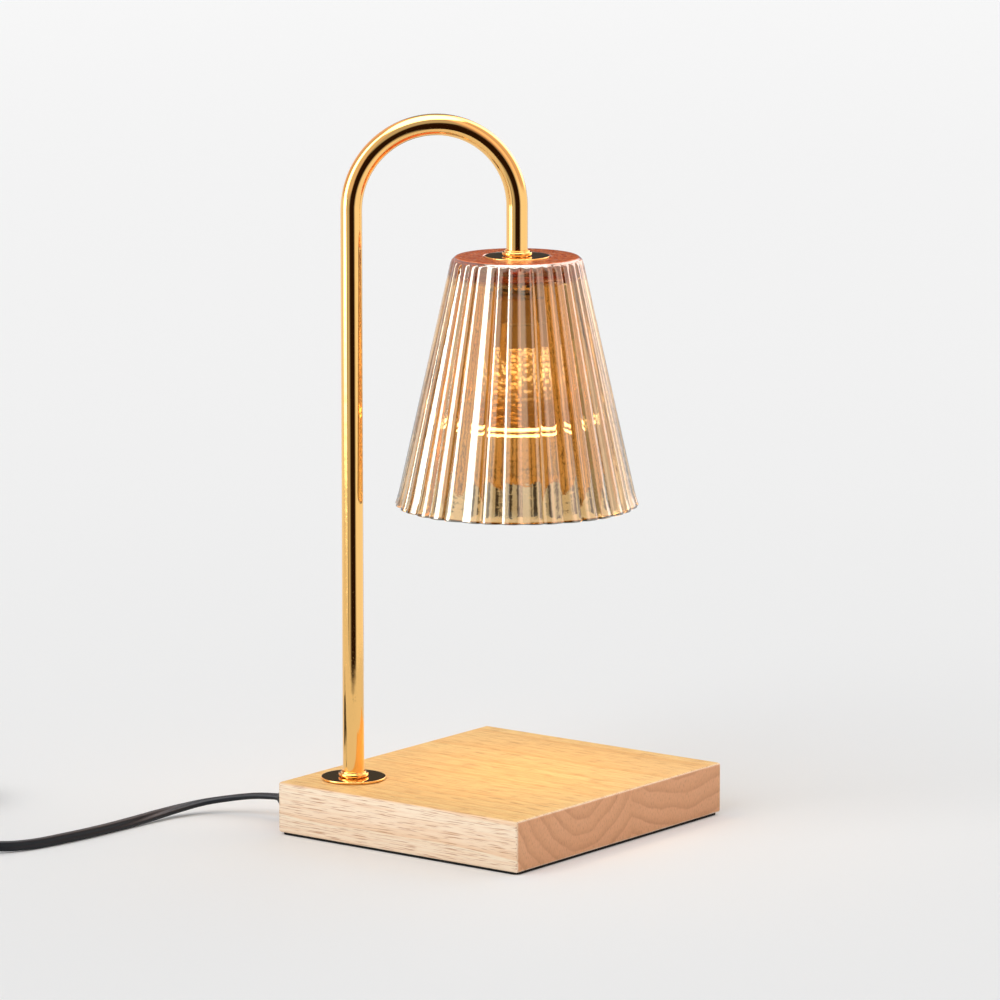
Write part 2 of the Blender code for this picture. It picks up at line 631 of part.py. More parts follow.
def arc_slot(radius, half_width, start, end, steps=6):
    """The outline of a curved slot with round ends, about the origin."""
    first = (radius * math.cos(start), radius * math.sin(start))
    last = (radius * math.cos(end), radius * math.sin(end))
    outline = arc((0, 0), radius + half_width, start, end, steps)
    outline += arc(last, half_width, end, end + math.pi, steps)[1:-1]
    outline += arc((0, 0), radius - half_width, end, start, steps)
    outline += arc(first, half_width, start + math.pi, start + math.tau, steps)[1:-1]
    return outline


def make_holder():
    """A ceramic socket with two key slots that the bulb's headed pins turn in."""
    spot = place_at("holder_place", (shade_axis.x, shade_axis.y, 0))
    edge = HOLDER_EDGE_ROUND
    radius = HOLDER_DIAMETER / 2
    outline = [(0, holder_face), (radius - edge, holder_face), (radius, holder_face + edge)]
    outline += [(radius, holder_top - edge), (radius - edge, holder_top), (0, holder_top)]
    holder = add("lamp_holder", turned(outline, ROUND_SIDES), ceramic, spot)
    circle = PIN_CIRCLE_DIAMETER / 2
    neck_slot, head_slot = PIN_DIAMETER / 2 + RUNNING_GAP, PIN_HEAD_DIAMETER / 2 + RUNNING_GAP
    lip_top = holder_face + SOCKET_LIP
    for number, turn in enumerate((0, math.pi)):
        slot = arc_slot(circle, neck_slot, turn, turn + BAYONET_TURN)
        slot = extruded(slot, holder_face - CUT_OVERRUN, lip_top + RUNNING_GAP)
        combine(holder, add(f"pin_slot_{number}", slot, None))
        entry = disc(head_slot + RUNNING_GAP, holder_face - CUT_OVERRUN, lip_top + RUNNING_GAP)
        entry = add(f"pin_entry_{number}", turned(entry, SMALL_SIDES), None)
        entry.location = (circle * math.cos(turn + BAYONET_TURN), circle * math.sin(turn + BAYONET_TURN), 0)
        combine(holder, entry)
        channel = extruded(arc_slot(circle, head_slot, turn, turn + BAYONET_TURN), lip_top, channel_top)
        combine(holder, add(f"pin_channel_{number}", channel, None))
    lead_hole = disc(LEAD_HOLE_DIAMETER / 2, holder_top - LEAD_HOLE_DEPTH, holder_top + CUT_OVERRUN)
    combine(holder, add("lead_hole", turned(lead_hole, SMALL_SIDES), None))
    for side, name in ((-1, "holder_screw_left"), (1, "holder_screw_right")):
        place = place_at(name + "_place", (shade_axis.x + side * HOLDER_SCREW_SPACING / 2, shade_axis.y, 0))
        make_holder_screw(name, place, holder, side)
    for side, name in ((-1, "contact_left"), (1, "contact_right")):
        middle = side * circle
        contact = block(
            (middle - CONTACT_WIDTH / 2, -CONTACT_LENGTH / 2, contact_bottom),
            (middle + CONTACT_WIDTH / 2, CONTACT_LENGTH / 2, contact_bottom + CONTACT_THICKNESS),
        )
        add(name, contact, brass, spot)


def make_holder_screw(name, place, holder, side):
    shank = HOLDER_SCREW_DIAMETER / 2
    head = HOLDER_SCREW_HEAD_DIAMETER / 2
    seat = strap_foot + STRAP_THICKNESS + FIT_GAP
    tip = seat - HOLDER_SCREW_LENGTH
    crown = seat + HOLDER_SCREW_HEAD_HEIGHT
    outline = [(0, tip), (shank, tip), (shank, seat), (head, seat), (head, (seat + crown) / 2)]
    outline += [(head / 2, crown), (0, crown)]
    add(name, turned(outline, SMALL_SIDES), steel, place)
    hole = turned(disc(shank + FIT_GAP, tip - FIT_GAP, holder_top + CUT_OVERRUN), SMALL_SIDES)
    hole = add(name + "_hole", hole, None)
    hole.location.x = side * HOLDER_SCREW_SPACING / 2
    combine(holder, hole)


def make_bulb():
    """Reflector bulb; all of it turns on the shade's axis."""
    axis = place_at("bulb_axis", (shade_axis.x, shade_axis.y, 0))
    base_bottom = bulb_top - BULB_BASE_HEIGHT
    spigot, spigot_end = BULB_SPIGOT_DIAMETER / 2, base_bottom - BULB_SPIGOT_LENGTH
    base_radius, edge = BULB_BASE_DIAMETER / 2, BULB_WALL / 2
    stem_hole = CAPSULE_STEM_DIAMETER / 2 + FIT_GAP
    stem_top = spigot_end + CAPSULE_STEM_LENGTH
    outline = [
        (0, bulb_top), (0, stem_top + FIT_GAP), (stem_hole, stem_top + FIT_GAP), (stem_hole, spigot_end),
        (spigot, spigot_end), (spigot, base_bottom), (base_radius, base_bottom),
        (base_radius, bulb_top - edge), (base_radius - edge, bulb_top),
    ]
    base = add("bulb_base", turned(outline, ROUND_SIDES), ceramic, axis)
    for side, name in ((-1, "bulb_pin_left"), (1, "bulb_pin_right")):
        make_pin(name, side, base)
    make_reflector(axis, base_bottom - FIT_GAP)
    radius, stem = CAPSULE_DIAMETER / 2, CAPSULE_STEM_DIAMETER / 2
    top, bottom = spigot_end - FIT_GAP, spigot_end - FIT_GAP - CAPSULE_LENGTH
    outline = [(0, stem_top), (0, bottom)] + arc((0, bottom + radius), radius, -math.pi / 2, 0, 4)[1:]
    outline += [(radius, top), (stem, top), (stem, stem_top)]
    add("bulb_capsule", turned(outline, SMALL_SIDES), clear_glass, axis)


def make_pin(name, side, base):
    """A headed pin; its root sits in the bulb's base."""
    shank, head = PIN_DIAMETER / 2, PIN_HEAD_DIAMETER / 2
    low = bulb_top - PIN_ROOT
    place = place_at(name + "_place", (shade_axis.x + side * PIN_CIRCLE_DIAMETER / 2, shade_axis.y, 0))
    outline = [(0, low), (shank, low), (shank, pin_head_bottom), (head, pin_head_bottom)]
    outline += [(head, pin_head_top), (0, pin_head_top)]
    add(name, turned(outline, SMALL_SIDES), brass, place)
    hole = turned(disc(shank + FIT_GAP, low - FIT_GAP, bulb_top + CUT_OVERRUN), SMALL_SIDES)
    hole = add(name + "_hole", hole, None)
    hole.location.x = side * PIN_CIRCLE_DIAMETER / 2
    combine(base, hole)


def make_reflector(axis, top):
    """A parabola with a rebate at its mouth for the front lens."""
    neck = BULB_SPIGOT_DIAMETER / 2 + FIT_GAP + BULB_WALL
    rim_top = bulb_front + BULB_RIM_HEIGHT
    mouth = BULB_DIAMETER / 2 - BULB_WALL / 2
    rebate = BULB_DIAMETER / 2 - BULB_WALL
    outer = []
    for i in range(REFLECTOR_STEPS + 1):
        share = i / REFLECTOR_STEPS
        radius = math.sqrt(neck**2 + (mouth**2 - neck**2) * share)
        outer.append((radius, top + (rim_top - top) * share))
    inner = [(radius - BULB_WALL, height) for radius, height in outer]
    rim = [(BULB_DIAMETER / 2, rim_top), (BULB_DIAMETER / 2, bulb_front)]
    rim += [(rebate, bulb_front), (rebate, rim_top)]
    add("bulb_reflector", turned(outer + rim + inner[::-1], ROUND_SIDES), mirror_coat, axis)
    lens_top = rim_top - FIT_GAP
    lens = disc(rebate - FIT_GAP, lens_top - BULB_LENS_THICKNESS, lens_top)
    add("bulb_lens", turned(lens, ROUND_SIDES), clear_glass, axis)


def make_inner_lead():
    """The lead from the strain relief, up the pole, over the arch and down to the socket."""
    turn_in = pole_foot / 2
    route = [
        Vector((relief_start + RELIEF_SHANK_LENGTH + FIT_GAP, pole_axis.y, CORD_BORE_HEIGHT)),
        Vector((pole_axis.x - LEAD_BEND_START, pole_axis.y, CORD_BORE_HEIGHT)),
        Vector((pole_axis.x - LEAD_BEND_LOWEST, pole_axis.y, turn_in)),
        Vector((pole_axis.x, pole_axis.y, pole_foot)),
    ]
    points = smooth_route(route, LEAD_DIAMETER)
    points.append(Vector((pole_axis.x, pole_axis.y, arch_spring / 2)))
    for i in range(ARCH_STEPS + 1):
        angle = math.pi * i / ARCH_STEPS
        along = ARCH_RADIUS * (1 - math.cos(angle))
        spot = pole_axis + along * arm_direction
        points.append(Vector((spot.x, spot.y, arch_spring + ARCH_RADIUS * math.sin(angle))))
    points.append(Vector((shade_axis.x, shade_axis.y, holder_top - LEAD_HOLE_DEPTH + FIT_GAP)))
    cable("inner_lead", points, LEAD_DIAMETER, lead_skin)


def relief_outline(shank_length, shank_radius):
    """A strain relief about Z: its shank goes down into the housing, its grooved taper stands up."""
    root, tip = RELIEF_ROOT_DIAMETER / 2, RELIEF_TIP_DIAMETER / 2
    outline = [(0, -shank_length), (shank_radius, -shank_length), (shank_radius, 0), (root, 0)]
    pitch = RELIEF_LENGTH / (RELIEF_GROOVES + 1)
    for i in range(1, RELIEF_GROOVES + 1):
        height = i * pitch
        radius = root + (tip - root) * height / RELIEF_LENGTH
        for share, depth_share in GROOVE_SHARES:
            outline.append((radius - depth_share * RELIEF_GROOVE_DEPTH, height + share * pitch))
    return outline + [(tip, RELIEF_LENGTH), (0, RELIEF_LENGTH)]


def make_strain_relief():
    shank = CORD_BORE_DIAMETER / 2 - FIT_GAP
    relief = turned(relief_outline(RELIEF_SHANK_LENGTH, shank), RELIEF_SIDES)
    relief = add("strain_relief", relief, black_plastic)
    relief.location = (relief_start - FIT_GAP, pole_axis.y, CORD_BORE_HEIGHT)
    relief.rotation_euler = (0, -math.pi / 2, 0)


def sleeve_tip(side):
    """Where a cord starts or ends at the hand switch."""
    reach = switch_sleeve_reach + 2 * FIT_GAP
    return Vector((SWITCH_CENTRE[0] + side * reach, SWITCH_CENTRE[1], SWITCH_PARTING))


def lamp_cord_route():
    """From the base, down to the floor, round towards the left front and on to the hand switch."""
    height = CORD_BORE_HEIGHT
    return [
        cord_exit,
        cord_exit - Vector((STRAIGHT_END, 0, 0)),
        Vector((-0.0985, cord_exit.y - 0.0007, height - 0.0003)),
        Vector((-0.106, -0.0555, height - 0.0010)),
        Vector((-0.116, -0.0595, height - 0.0027)),
        Vector((-0.1255, -0.0672, 0.0055)),
        Vector((-0.1308, -0.0785, 0.0040)),
        Vector((-0.1330, -0.0925, 0.0031)),
        Vector((-0.1337, -0.1100, cord_on_floor)),
        Vector((-0.1345, -0.1340, cord_on_floor)),
        Vector((-0.1368, -0.1550, cord_on_floor)),
        Vector((-0.1405, -0.1740, cord_on_floor)),
        Vector((-0.1474, -0.1880, 0.0032)),
        Vector((-0.1597, -0.1984, 0.0050)),
        Vector((-0.1728, -0.2023, 0.0074)),
        sleeve_tip(1) + Vector((STRAIGHT_END, 0, 0)),
        sleeve_tip(1),
    ]


def switch_cord_route(coil_start):
    """From the hand switch round to the start of the wound length."""
    return [
        sleeve_tip(-1),
        sleeve_tip(-1) - Vector((STRAIGHT_END, 0, 0)),
        Vector((-0.2825, -0.2018, 0.0074)),
        Vector((-0.2890, -0.1975, 0.0062)),
        Vector((-0.2945, -0.1885, 0.0050)),
        Vector((-0.2967, -0.1760, 0.0042)),
        Vector((coil_start.x, -0.1600, coil_floor)),
        coil_start - Vector((0, FIT_GAP, 0)),
    ]


def plug_cord_route(coil_end):
    """From the end of the wound length, up over its turns, to the plug that lies on them."""
    return [
        coil_end + Vector((FIT_GAP, 0, 0)),
        coil_end + Vector((FIT_GAP + STRAIGHT_END, 0, 0)),
        Vector((-0.2420, -0.1034, coil_end.z + 0.0012)),
        Vector((-0.2335, -0.1076, coil_end.z + 0.0038)),
        Vector((-0.2240, -0.1160, coil_end.z + 0.0060)),
        Vector((-0.2185, -0.1270, coil_end.z + 0.0069)),
        Vector((-0.2170, -0.1395, coil_end.z + 0.0078)),
        Vector((-0.2190, -0.1520, coil_end.z + 0.0089)),
        Vector((-0.2250, -0.1630, coil_end.z + 0.0102)),
        Vector((-0.2320, -0.1700, coil_end.z + 0.0108)),
        plug_place + Vector((FIT_GAP + STRAIGHT_END, 0, 0)),
        plug_place + Vector((FIT_GAP, 0, 0)),
    ]


def coil_points():
    """The wound length: a flat spiral inwards, a climb of one layer, and the spiral out again on top.

    It starts at the coil's left side, runs clockwise seen from above, and each end runs straight for
    one cord diameter.
    """
    steps = round(COIL_TURNS * COIL_POINTS_PER_TURN)
    half = COIL_TURNS / 2
    points = []
    for i in range(steps + 1):
        turns = COIL_TURNS * i / steps
        radius = coil_hole + COIL_PITCH * abs(turns - half)
        climb = min(1.0, max(0.0, 2 * (turns - half) + 0.5))
        height = coil_floor + COIL_PITCH * climb * climb * (3 - 2 * climb)
        angle = math.pi - math.tau * turns
        x = COIL_CENTRE[0] + radius * math.cos(angle)
        y = COIL_CENTRE[1] + radius * math.sin(angle)
        points.append(Vector((x, y, height)))
    start = points[0] - Vector((0, CORD_DIAMETER, 0))
    end = points[-1] + Vector((CORD_DIAMETER, 0, 0))
    return [start] + points + [end]


def least_gap(points):
    """The least free space between one turn and another, measured between points and stretches."""
    least = math.inf
    apart = COIL_POINTS_PER_TURN // 2
    for i, point in enumerate(points):
        for start, end in list(zip(points, points[1:]))[i + apart:]:
            run = end - start
            share = min(1.0, max(0.0, (point - start).dot(run) / run.length_squared))
            least = min(least, (point - start - share * run).length)
    return least - CORD_DIAMETER


def make_cords():
    turns = coil_points()
    print(f"least gap between turns of the wound cord: {least_gap(turns) * 1000:.2f} mm")
    lead_in, lead_out = switch_cord_route(turns[0]), plug_cord_route(turns[-1])
    cable("cord_run", smooth_route(lamp_cord_route(), CORD_STEP), CORD_DIAMETER, cord_skin)
    cable("cord_lead_in", smooth_route(lead_in, CORD_STEP), CORD_DIAMETER, cord_skin)
    cable("cord_coil", turns, CORD_DIAMETER, cord_skin, bevel_resolution=1)
    cable("cord_lead_out", smooth_route(lead_out, CORD_STEP), CORD_DIAMETER, cord_skin)
    make_tie()


def make_tie():
    """A strap round the bundle of turns; the lowest turns rest on it."""
    inner = coil_hole - CORD_DIAMETER / 2 - TIE_SIDE_GAP
    outer = coil_reach + CORD_DIAMETER / 2 + TIE_SIDE_GAP
    low = FLOOR_GAP + TIE_THICKNESS
    high = coil_floor + COIL_PITCH + CORD_DIAMETER / 2 + FIT_GAP
    middle = (inner + outer) / 2
    corner = TIE_THICKNESS * 2
    height = high - low + 2 * TIE_THICKNESS
    width = outer - inner + 2 * TIE_THICKNESS
    outside = rounded_rectangle(width, height, corner, 3)
    width, height = width - 2 * TIE_THICKNESS, height - 2 * TIE_THICKNESS
    inside = rounded_rectangle(width, height, corner - TIE_THICKNESS, 3)
    place = place_at("tie_place", (*COIL_CENTRE, FLOOR_GAP + height / 2 + TIE_THICKNESS), TIE_ANGLE)
    upright = Matrix.Rotation(math.pi / 2, 3, "X")
    pieces = []
    for name, outline, reach in (("cord_tie", outside, 0), ("tie_opening", inside, CUT_OVERRUN)):
        bm = extruded(outline, -TIE_WIDTH / 2 - reach, TIE_WIDTH / 2 + reach)
        bmesh.ops.rotate(bm, verts=bm.verts[:], cent=(0, 0, 0), matrix=upright)
        bmesh.ops.translate(bm, verts=bm.verts[:], vec=(middle, 0, 0))
        pieces.append(add(name, bm, strap_fabric if name == "cord_tie" else None, place))
    combine(*pieces)


def shell_half(name, low, high, closed_low, place):
    """One half of the switch housing: rounded at its closed side, hollow, open at the parting line."""
    outline = rounded_rectangle(SWITCH_LENGTH, SWITCH_WIDTH, SWITCH_CORNER_RADIUS)
    bm = extruded(outline, low, high)
    round_edges(bm, flat_edges_at(bm, low if closed_low else high), SWITCH_EDGE_ROUND)
    shell = add(name, bm, black_plastic, place)
    inner = rounded_rectangle(
        SWITCH_LENGTH - 2 * SWITCH_WALL, SWITCH_WIDTH - 2 * SWITCH_WALL, SWITCH_CORNER_RADIUS - SWITCH_WALL
    )
    floor = low + SWITCH_WALL if closed_low else low - CUT_OVERRUN
    roof = high + CUT_OVERRUN if closed_low else high - SWITCH_WALL
    combine(shell, add(name + "_hollow", extruded(inner, floor, roof), None))
    for side in (-1, 1):
        notch = disc(SLEEVE_NECK_DIAMETER / 2 + FIT_GAP, -2 * SWITCH_WALL, CUT_OVERRUN)
        notch = add(name + "_notch", turned(notch, SMALL_SIDES), None)
        notch.rotation_euler = (0, side * math.pi / 2, 0)
        notch.location = (side * SWITCH_LENGTH / 2, 0, SWITCH_PARTING)
        combine(shell, notch)
    slot_low, slot_high = wheel_bottom - RUNNING_GAP, wheel_bottom + WHEEL_THICKNESS + RUNNING_GAP
    slot = disc(WHEEL_DIAMETER / 2 + RUNNING_GAP, slot_low, slot_high)
    tool = add(name + "_wheel_slot", turned(slot, ROUND_SIDES), None)
    tool.location.y = WHEEL_OFFSET
    combine(shell, tool)
    for side in (-1, 1):
        x = side * (SWITCH_LENGTH / 2 - SWITCH_BOSS_SETBACK)
        boss = lower_boss(low, high) if closed_low else upper_boss(low, high)
        boss = add(name + "_boss", turned(boss, SMALL_SIDES), None)
        boss.location.x = x
        combine(shell, boss, "UNION")
        if closed_low:
            bore_for_screw(shell, x)


def lower_boss(low, high):
    """The outline of a plain boss. It ends in the middle of the housing's closed wall, so the two join."""
    return disc(SWITCH_BOSS_DIAMETER / 2, low + SWITCH_WALL / 2, high)


def upper_boss(low, high):
    """The outline of a boss with a blind screw hole in its lower end."""
    radius, hole = SWITCH_BOSS_DIAMETER / 2, SWITCH_SCREW_DIAMETER / 2 + FIT_GAP
    top, hole_top = high - SWITCH_WALL / 2, SWITCH_PARTING + SWITCH_SCREW_BITE + FIT_GAP
    return [(hole, low), (radius, low), (radius, top), (0, top), (0, hole_top), (hole, hole_top)]


def bore_for_screw(shell, x):
    shank = SWITCH_SCREW_DIAMETER / 2 + FIT_GAP
    head = SWITCH_SCREW_HEAD_DIAMETER / 2 + FIT_GAP
    top = SWITCH_PARTING + CUT_OVERRUN
    cut = [(0, -CUT_OVERRUN), (head, -CUT_OVERRUN), (head, switch_screw_seat), (shank, switch_screw_seat)]
    cut += [(shank, top), (0, top)]
    tool = add(shell.name + "_screw_hole", turned(cut, SMALL_SIDES), None)
    tool.location.x = x
    combine(shell, tool)


def make_switch():
    place = place_at("switch_place", (*SWITCH_CENTRE, 0), math.pi)
    shell_half("switch_shell_lower", 0, SWITCH_PARTING, True, place)
    shell_half("switch_shell_upper", SWITCH_PARTING + FIT_GAP, SWITCH_HEIGHT, False, place)
    board = block(
        (-BOARD_LENGTH / 2, -BOARD_WIDTH / 2, board_bottom),
        (BOARD_LENGTH / 2, BOARD_WIDTH / 2, board_bottom + BOARD_THICKNESS),
    )
    add("switch_board", board, board_green, place)
    wheel_place = place_at("wheel_axis", (SWITCH_CENTRE[0], SWITCH_CENTRE[1] - WHEEL_OFFSET, 0))
    make_wheel(wheel_place)
    for side, name in ((-1, "switch_screw_rear"), (1, "switch_screw_front")):
        x = SWITCH_CENTRE[0] + side * (SWITCH_LENGTH / 2 - SWITCH_BOSS_SETBACK)
        make_switch_screw(name, place_at(name + "_place", (x, SWITCH_CENTRE[1], 0)))
    for side, name in ((-1, "switch_sleeve_out"), (1, "switch_sleeve_in")):
        make_sleeve(name, side)


def make_wheel(place):
    """The dimmer wheel with its serrated rim, on the shaft of the dial under it."""
    outline = []
    for i in range(2 * WHEEL_TEETH):
        angle = math.pi * i / WHEEL_TEETH
        radius = WHEEL_DIAMETER / 2 - (i % 2) * WHEEL_TOOTH_DEPTH
        outline.append((radius * math.cos(angle), radius * math.sin(angle)))
    wheel_top = wheel_bottom + WHEEL_THICKNESS
    wheel = add("dimmer_wheel", extruded(outline, wheel_bottom, wheel_top), black_plastic, place)
    bore = disc(SHAFT_DIAMETER / 2 + FIT_GAP, wheel_bottom - CUT_OVERRUN, wheel_top + CUT_OVERRUN)
    combine(wheel, add("wheel_bore", turned(bore, SMALL_SIDES), None))
    outline = rounded_rectangle(POT_SIDE, POT_SIDE, FIT_GAP, 1)
    dial = add("dimmer_dial", extruded(outline, pot_bottom, pot_bottom + POT_HEIGHT), steel, place)
    shaft_top = wheel_top + POT_HEIGHT / 2
    shaft = disc(SHAFT_DIAMETER / 2, pot_bottom + POT_HEIGHT / 2, shaft_top)
    combine(dial, add("dial_shaft", turned(shaft, SMALL_SIDES), None), "UNION")


def make_switch_screw(name, place):
    shank, head = SWITCH_SCREW_DIAMETER / 2, SWITCH_SCREW_HEAD_DIAMETER / 2
    low = switch_screw_seat - FIT_GAP - SWITCH_SCREW_HEAD_HEIGHT
    seat, tip = switch_screw_seat - FIT_GAP, SWITCH_PARTING + SWITCH_SCREW_BITE
    outline = [(0, low), (head, low), (head, seat), (shank, seat), (shank, tip), (0, tip)]
    add(name, turned(outline, SMALL_SIDES), steel, place)


def make_sleeve(name, side):
    """A soft sleeve held in the housing's end by a flange inside its wall."""
    neck, flange = SLEEVE_NECK_DIAMETER / 2, SLEEVE_FLANGE_DIAMETER / 2
    inside = SWITCH_WALL + FIT_GAP
    outline = relief_outline(inside + SLEEVE_FLANGE_THICKNESS, neck)
    outline[1:2] = [(flange, outline[1][1]), (flange, -inside), (neck, -inside)]
    sleeve = add(name, turned(outline, RELIEF_SIDES), black_plastic)
    x = SWITCH_CENTRE[0] + side * (SWITCH_LENGTH / 2 + FIT_GAP)
    sleeve.location = (x, SWITCH_CENTRE[1], SWITCH_PARTING)
    sleeve.rotation_euler = (0, side * math.pi / 2, 0)


def make_plug():
    """A flat two-blade plug that narrows towards its cord."""
    place = place_at("plug_place", plug_place, math.pi)
    half_width, half_thickness = PLUG_WIDTH / 2, PLUG_THICKNESS / 2
    bm = block((0, -half_width, -half_thickness), (PLUG_LENGTH, half_width, half_thickness))
    bmesh.ops.bisect_plane(
        bm, geom=bm.verts[:] + bm.edges[:] + bm.faces[:], plane_co=(PLUG_TAIL_LENGTH, 0, 0),
        plane_no=(1, 0, 0),
    )
    for corner in bm.verts:
        if corner.co.x < PLUG_TAIL_LENGTH / 2:
            corner.co.y *= PLUG_TAIL_WIDTH / PLUG_WIDTH
            corner.co.z *= PLUG_TAIL_THICKNESS / PLUG_THICKNESS
    round_edges(bm, bm.edges[:], PLUG_EDGE_ROUND)
    plug = add("plug_body", bm, black_plastic, place)
    make_blade("plug_blade_narrow", -BLADE_SPACING / 2, BLADE_WIDTHS[0], plug, place)
    make_blade("plug_blade_wide", BLADE_SPACING / 2, BLADE_WIDTHS[1], plug, place)


def make_blade(name, y, width, plug, place):
    root, tip = PLUG_LENGTH - BLADE_ROOT, PLUG_LENGTH + BLADE_LENGTH
    low = (root, y - BLADE_THICKNESS / 2, -width / 2)
    high = (tip, y + BLADE_THICKNESS / 2, width / 2)
    bm = block(low, high)
    tip_edges = [e for e in bm.edges if all(abs(v.co.x - tip) < MERGE_DISTANCE for v in e.verts)]
    round_edges(bm, tip_edges, BLADE_THICKNESS / 3, 1)
    blade = add(name, bm, brass, place)
    hole = turned(disc(BLADE_HOLE_DIAMETER / 2, -BLADE_THICKNESS, BLADE_THICKNESS), SMALL_SIDES)
    tool = add(name + "_hole", hole, None)
    tool.rotation_euler = (math.pi / 2, 0, 0)
    tool.location = (tip - BLADE_HOLE_SETBACK, y, 0)
    combine(blade, tool)
    margin = Vector((FIT_GAP, FIT_GAP, FIT_GAP))
    socket = block(Vector(low) - margin, Vector(high) + margin)
    combine(plug, add(name + "_socket", socket, None))


make_base()
make_pole()
make_pole_fittings()
make_shade()
make_shade_fittings()
make_holder()
make_bulb()
make_inner_lead()
make_strain_relief()
make_cords()
make_switch()
make_plug()
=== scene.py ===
# Warming lamp with a ribbed glass shade: finishes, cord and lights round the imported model.
# Metres, +Z up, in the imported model's own frame. A pattern's scale counts repeats per metre,
# so 1000 puts one in every millimetre.

import math

import bmesh
import bpy
from mathutils import Matrix, Vector


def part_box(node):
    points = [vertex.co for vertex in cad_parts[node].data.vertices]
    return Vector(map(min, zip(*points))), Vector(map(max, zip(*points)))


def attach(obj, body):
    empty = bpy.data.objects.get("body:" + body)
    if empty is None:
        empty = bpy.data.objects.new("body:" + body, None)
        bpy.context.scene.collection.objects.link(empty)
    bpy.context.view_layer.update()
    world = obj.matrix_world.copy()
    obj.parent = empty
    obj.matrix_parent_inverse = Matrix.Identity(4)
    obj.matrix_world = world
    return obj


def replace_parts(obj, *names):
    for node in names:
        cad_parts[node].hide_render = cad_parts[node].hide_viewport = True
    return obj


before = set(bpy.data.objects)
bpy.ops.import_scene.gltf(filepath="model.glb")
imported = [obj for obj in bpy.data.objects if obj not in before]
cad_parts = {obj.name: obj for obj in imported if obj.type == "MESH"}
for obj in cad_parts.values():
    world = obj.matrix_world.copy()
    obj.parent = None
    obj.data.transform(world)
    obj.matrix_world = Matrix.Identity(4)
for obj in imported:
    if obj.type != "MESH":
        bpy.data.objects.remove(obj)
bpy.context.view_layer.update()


def linear(hexCode):
    channels = [int(hexCode[i:i + 2], 16) / 255 for i in (1, 3, 5)]
    return [c / 12.92 if c < 0.04045 else ((c + 0.055) / 1.055) ** 2.4 for c in channels] + [1.0]


def addNode(tree, kind, settings=None, inputs=None):
    # an input is a value, or another node's output to link to
    node = tree.nodes.new(kind)
    for name, value in (settings or {}).items():
        setattr(node, name, value)
    for name, value in (inputs or {}).items():
        if isinstance(value, bpy.types.NodeSocket):
            tree.links.new(value, node.inputs[name])
        else:
            node.inputs[name].default_value = value
    return node


def newMaterial(name, sockets):
    made = bpy.data.materials.new(name)
    made.use_nodes = True
    shader = made.node_tree.nodes["Principled BSDF"]
    for socket, value in sockets.items():
        shader.inputs[socket].default_value = value
    return made, made.node_tree, shader


def setStops(ramp, stops):
    # stops are (position, hex colour)
    elements = ramp.color_ramp.elements
    while len(elements) < len(stops):
        elements.new(1.0)
    for element, (position, hexCode) in zip(elements, stops):
        element.position = position
        element.color = linear(hexCode)


def link(tree, output, shader, socket):
    tree.links.new(output, shader.inputs[socket])


# Camera: a long lens from the front right, a little above
view = {
    "place": (1.76260485, -2.31465721, 0.66415036),
    "target": (-0.01379987, 0.01720732, 0.1509544),
    "lens": 227.9,
    "sensor": 36.0,
    "clipEnd": 60,
}


def makeCamera():
    camera = bpy.data.objects.new("camera", bpy.data.cameras.new("camera"))
    camera.data.lens = view["lens"]
    camera.data.sensor_width = view["sensor"]
    camera.data.clip_end = view["clipEnd"]
    camera.location = view["place"]
    towards = Vector(view["target"]) - Vector(view["place"])
    camera.rotation_euler = towards.to_track_quat("-Z", "Y").to_euler()
    bpy.context.scene.collection.objects.link(camera)
    bpy.context.scene.camera = camera


# Meshes

meshing = {
    "mergeWithin": 0.000002,
    "flatWithin": 1,  # degrees between faces that are joined into one
    "bevelAbove": 40,  # degrees across an edge that is eased
    "bevelSteps": 2,
    "cornerShare": 0.45,  # the most that one rounded corner takes of a side
}


def finished(name, bm, skin, body="lamp", smoothBelow=35):
    # merged, faces out, smooth apart from its real edges
    bmesh.ops.remove_doubles(bm, verts=bm.verts, dist=meshing["mergeWithin"])
    bmesh.ops.recalc_face_normals(bm, faces=bm.faces)
    mesh = bpy.data.meshes.new(name)
    bm.to_mesh(mesh)
    bm.free()
    mesh.shade_smooth()
    mesh.set_sharp_from_angle(angle=math.radians(smoothBelow))
    mesh.materials.append(skin)
    piece = bpy.data.objects.new(name, mesh)
    bpy.context.scene.collection.objects.link(piece)
    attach(piece, body)
    return piece


def turned(outline, sides):
    # spins a closed outline of (radius, height) round Z
    bm = bmesh.new()
    corners = [bm.verts.new((radius, 0, height)) for radius, height in outline]
    edges = [bm.edges.new((a, b)) for a, b in zip(corners, corners[1:] + corners[:1])]
    bmesh.ops.spin(
        bm, geom=corners + edges, cent=(0, 0, 0), axis=(0, 0, 1), dvec=(0, 0, 0),
        angle=math.tau, steps=sides, use_merge=True,
    )
    bmesh.ops.remove_doubles(bm, verts=bm.verts, dist=meshing["mergeWithin"])
    bmesh.ops.delete(bm, geom=[e for e in bm.edges if not e.link_faces], context="EDGES")
    return bm


def eased(outline, radius, steps=4):
    # rounds every corner of a closed outline that has room for it
    found = []
    count = len(outline)
    for i, corner in enumerate(outline):
        here = Vector(corner)
        before, after = Vector(outline[i - 1]), Vector(outline[(i + 1) % count])
        shortest = min((before - here).length, (after - here).length)
        cut = min(radius, shortest * meshing["cornerShare"])
        start = here + (before - here).normalized() * cut
        end = here + (after - here).normalized() * cut
        for step in range(steps + 1):
            t = step / steps
            found.append(start.lerp(here, t).lerp(here.lerp(end, t), t))
    return [(p.x, p.y) for p in found]


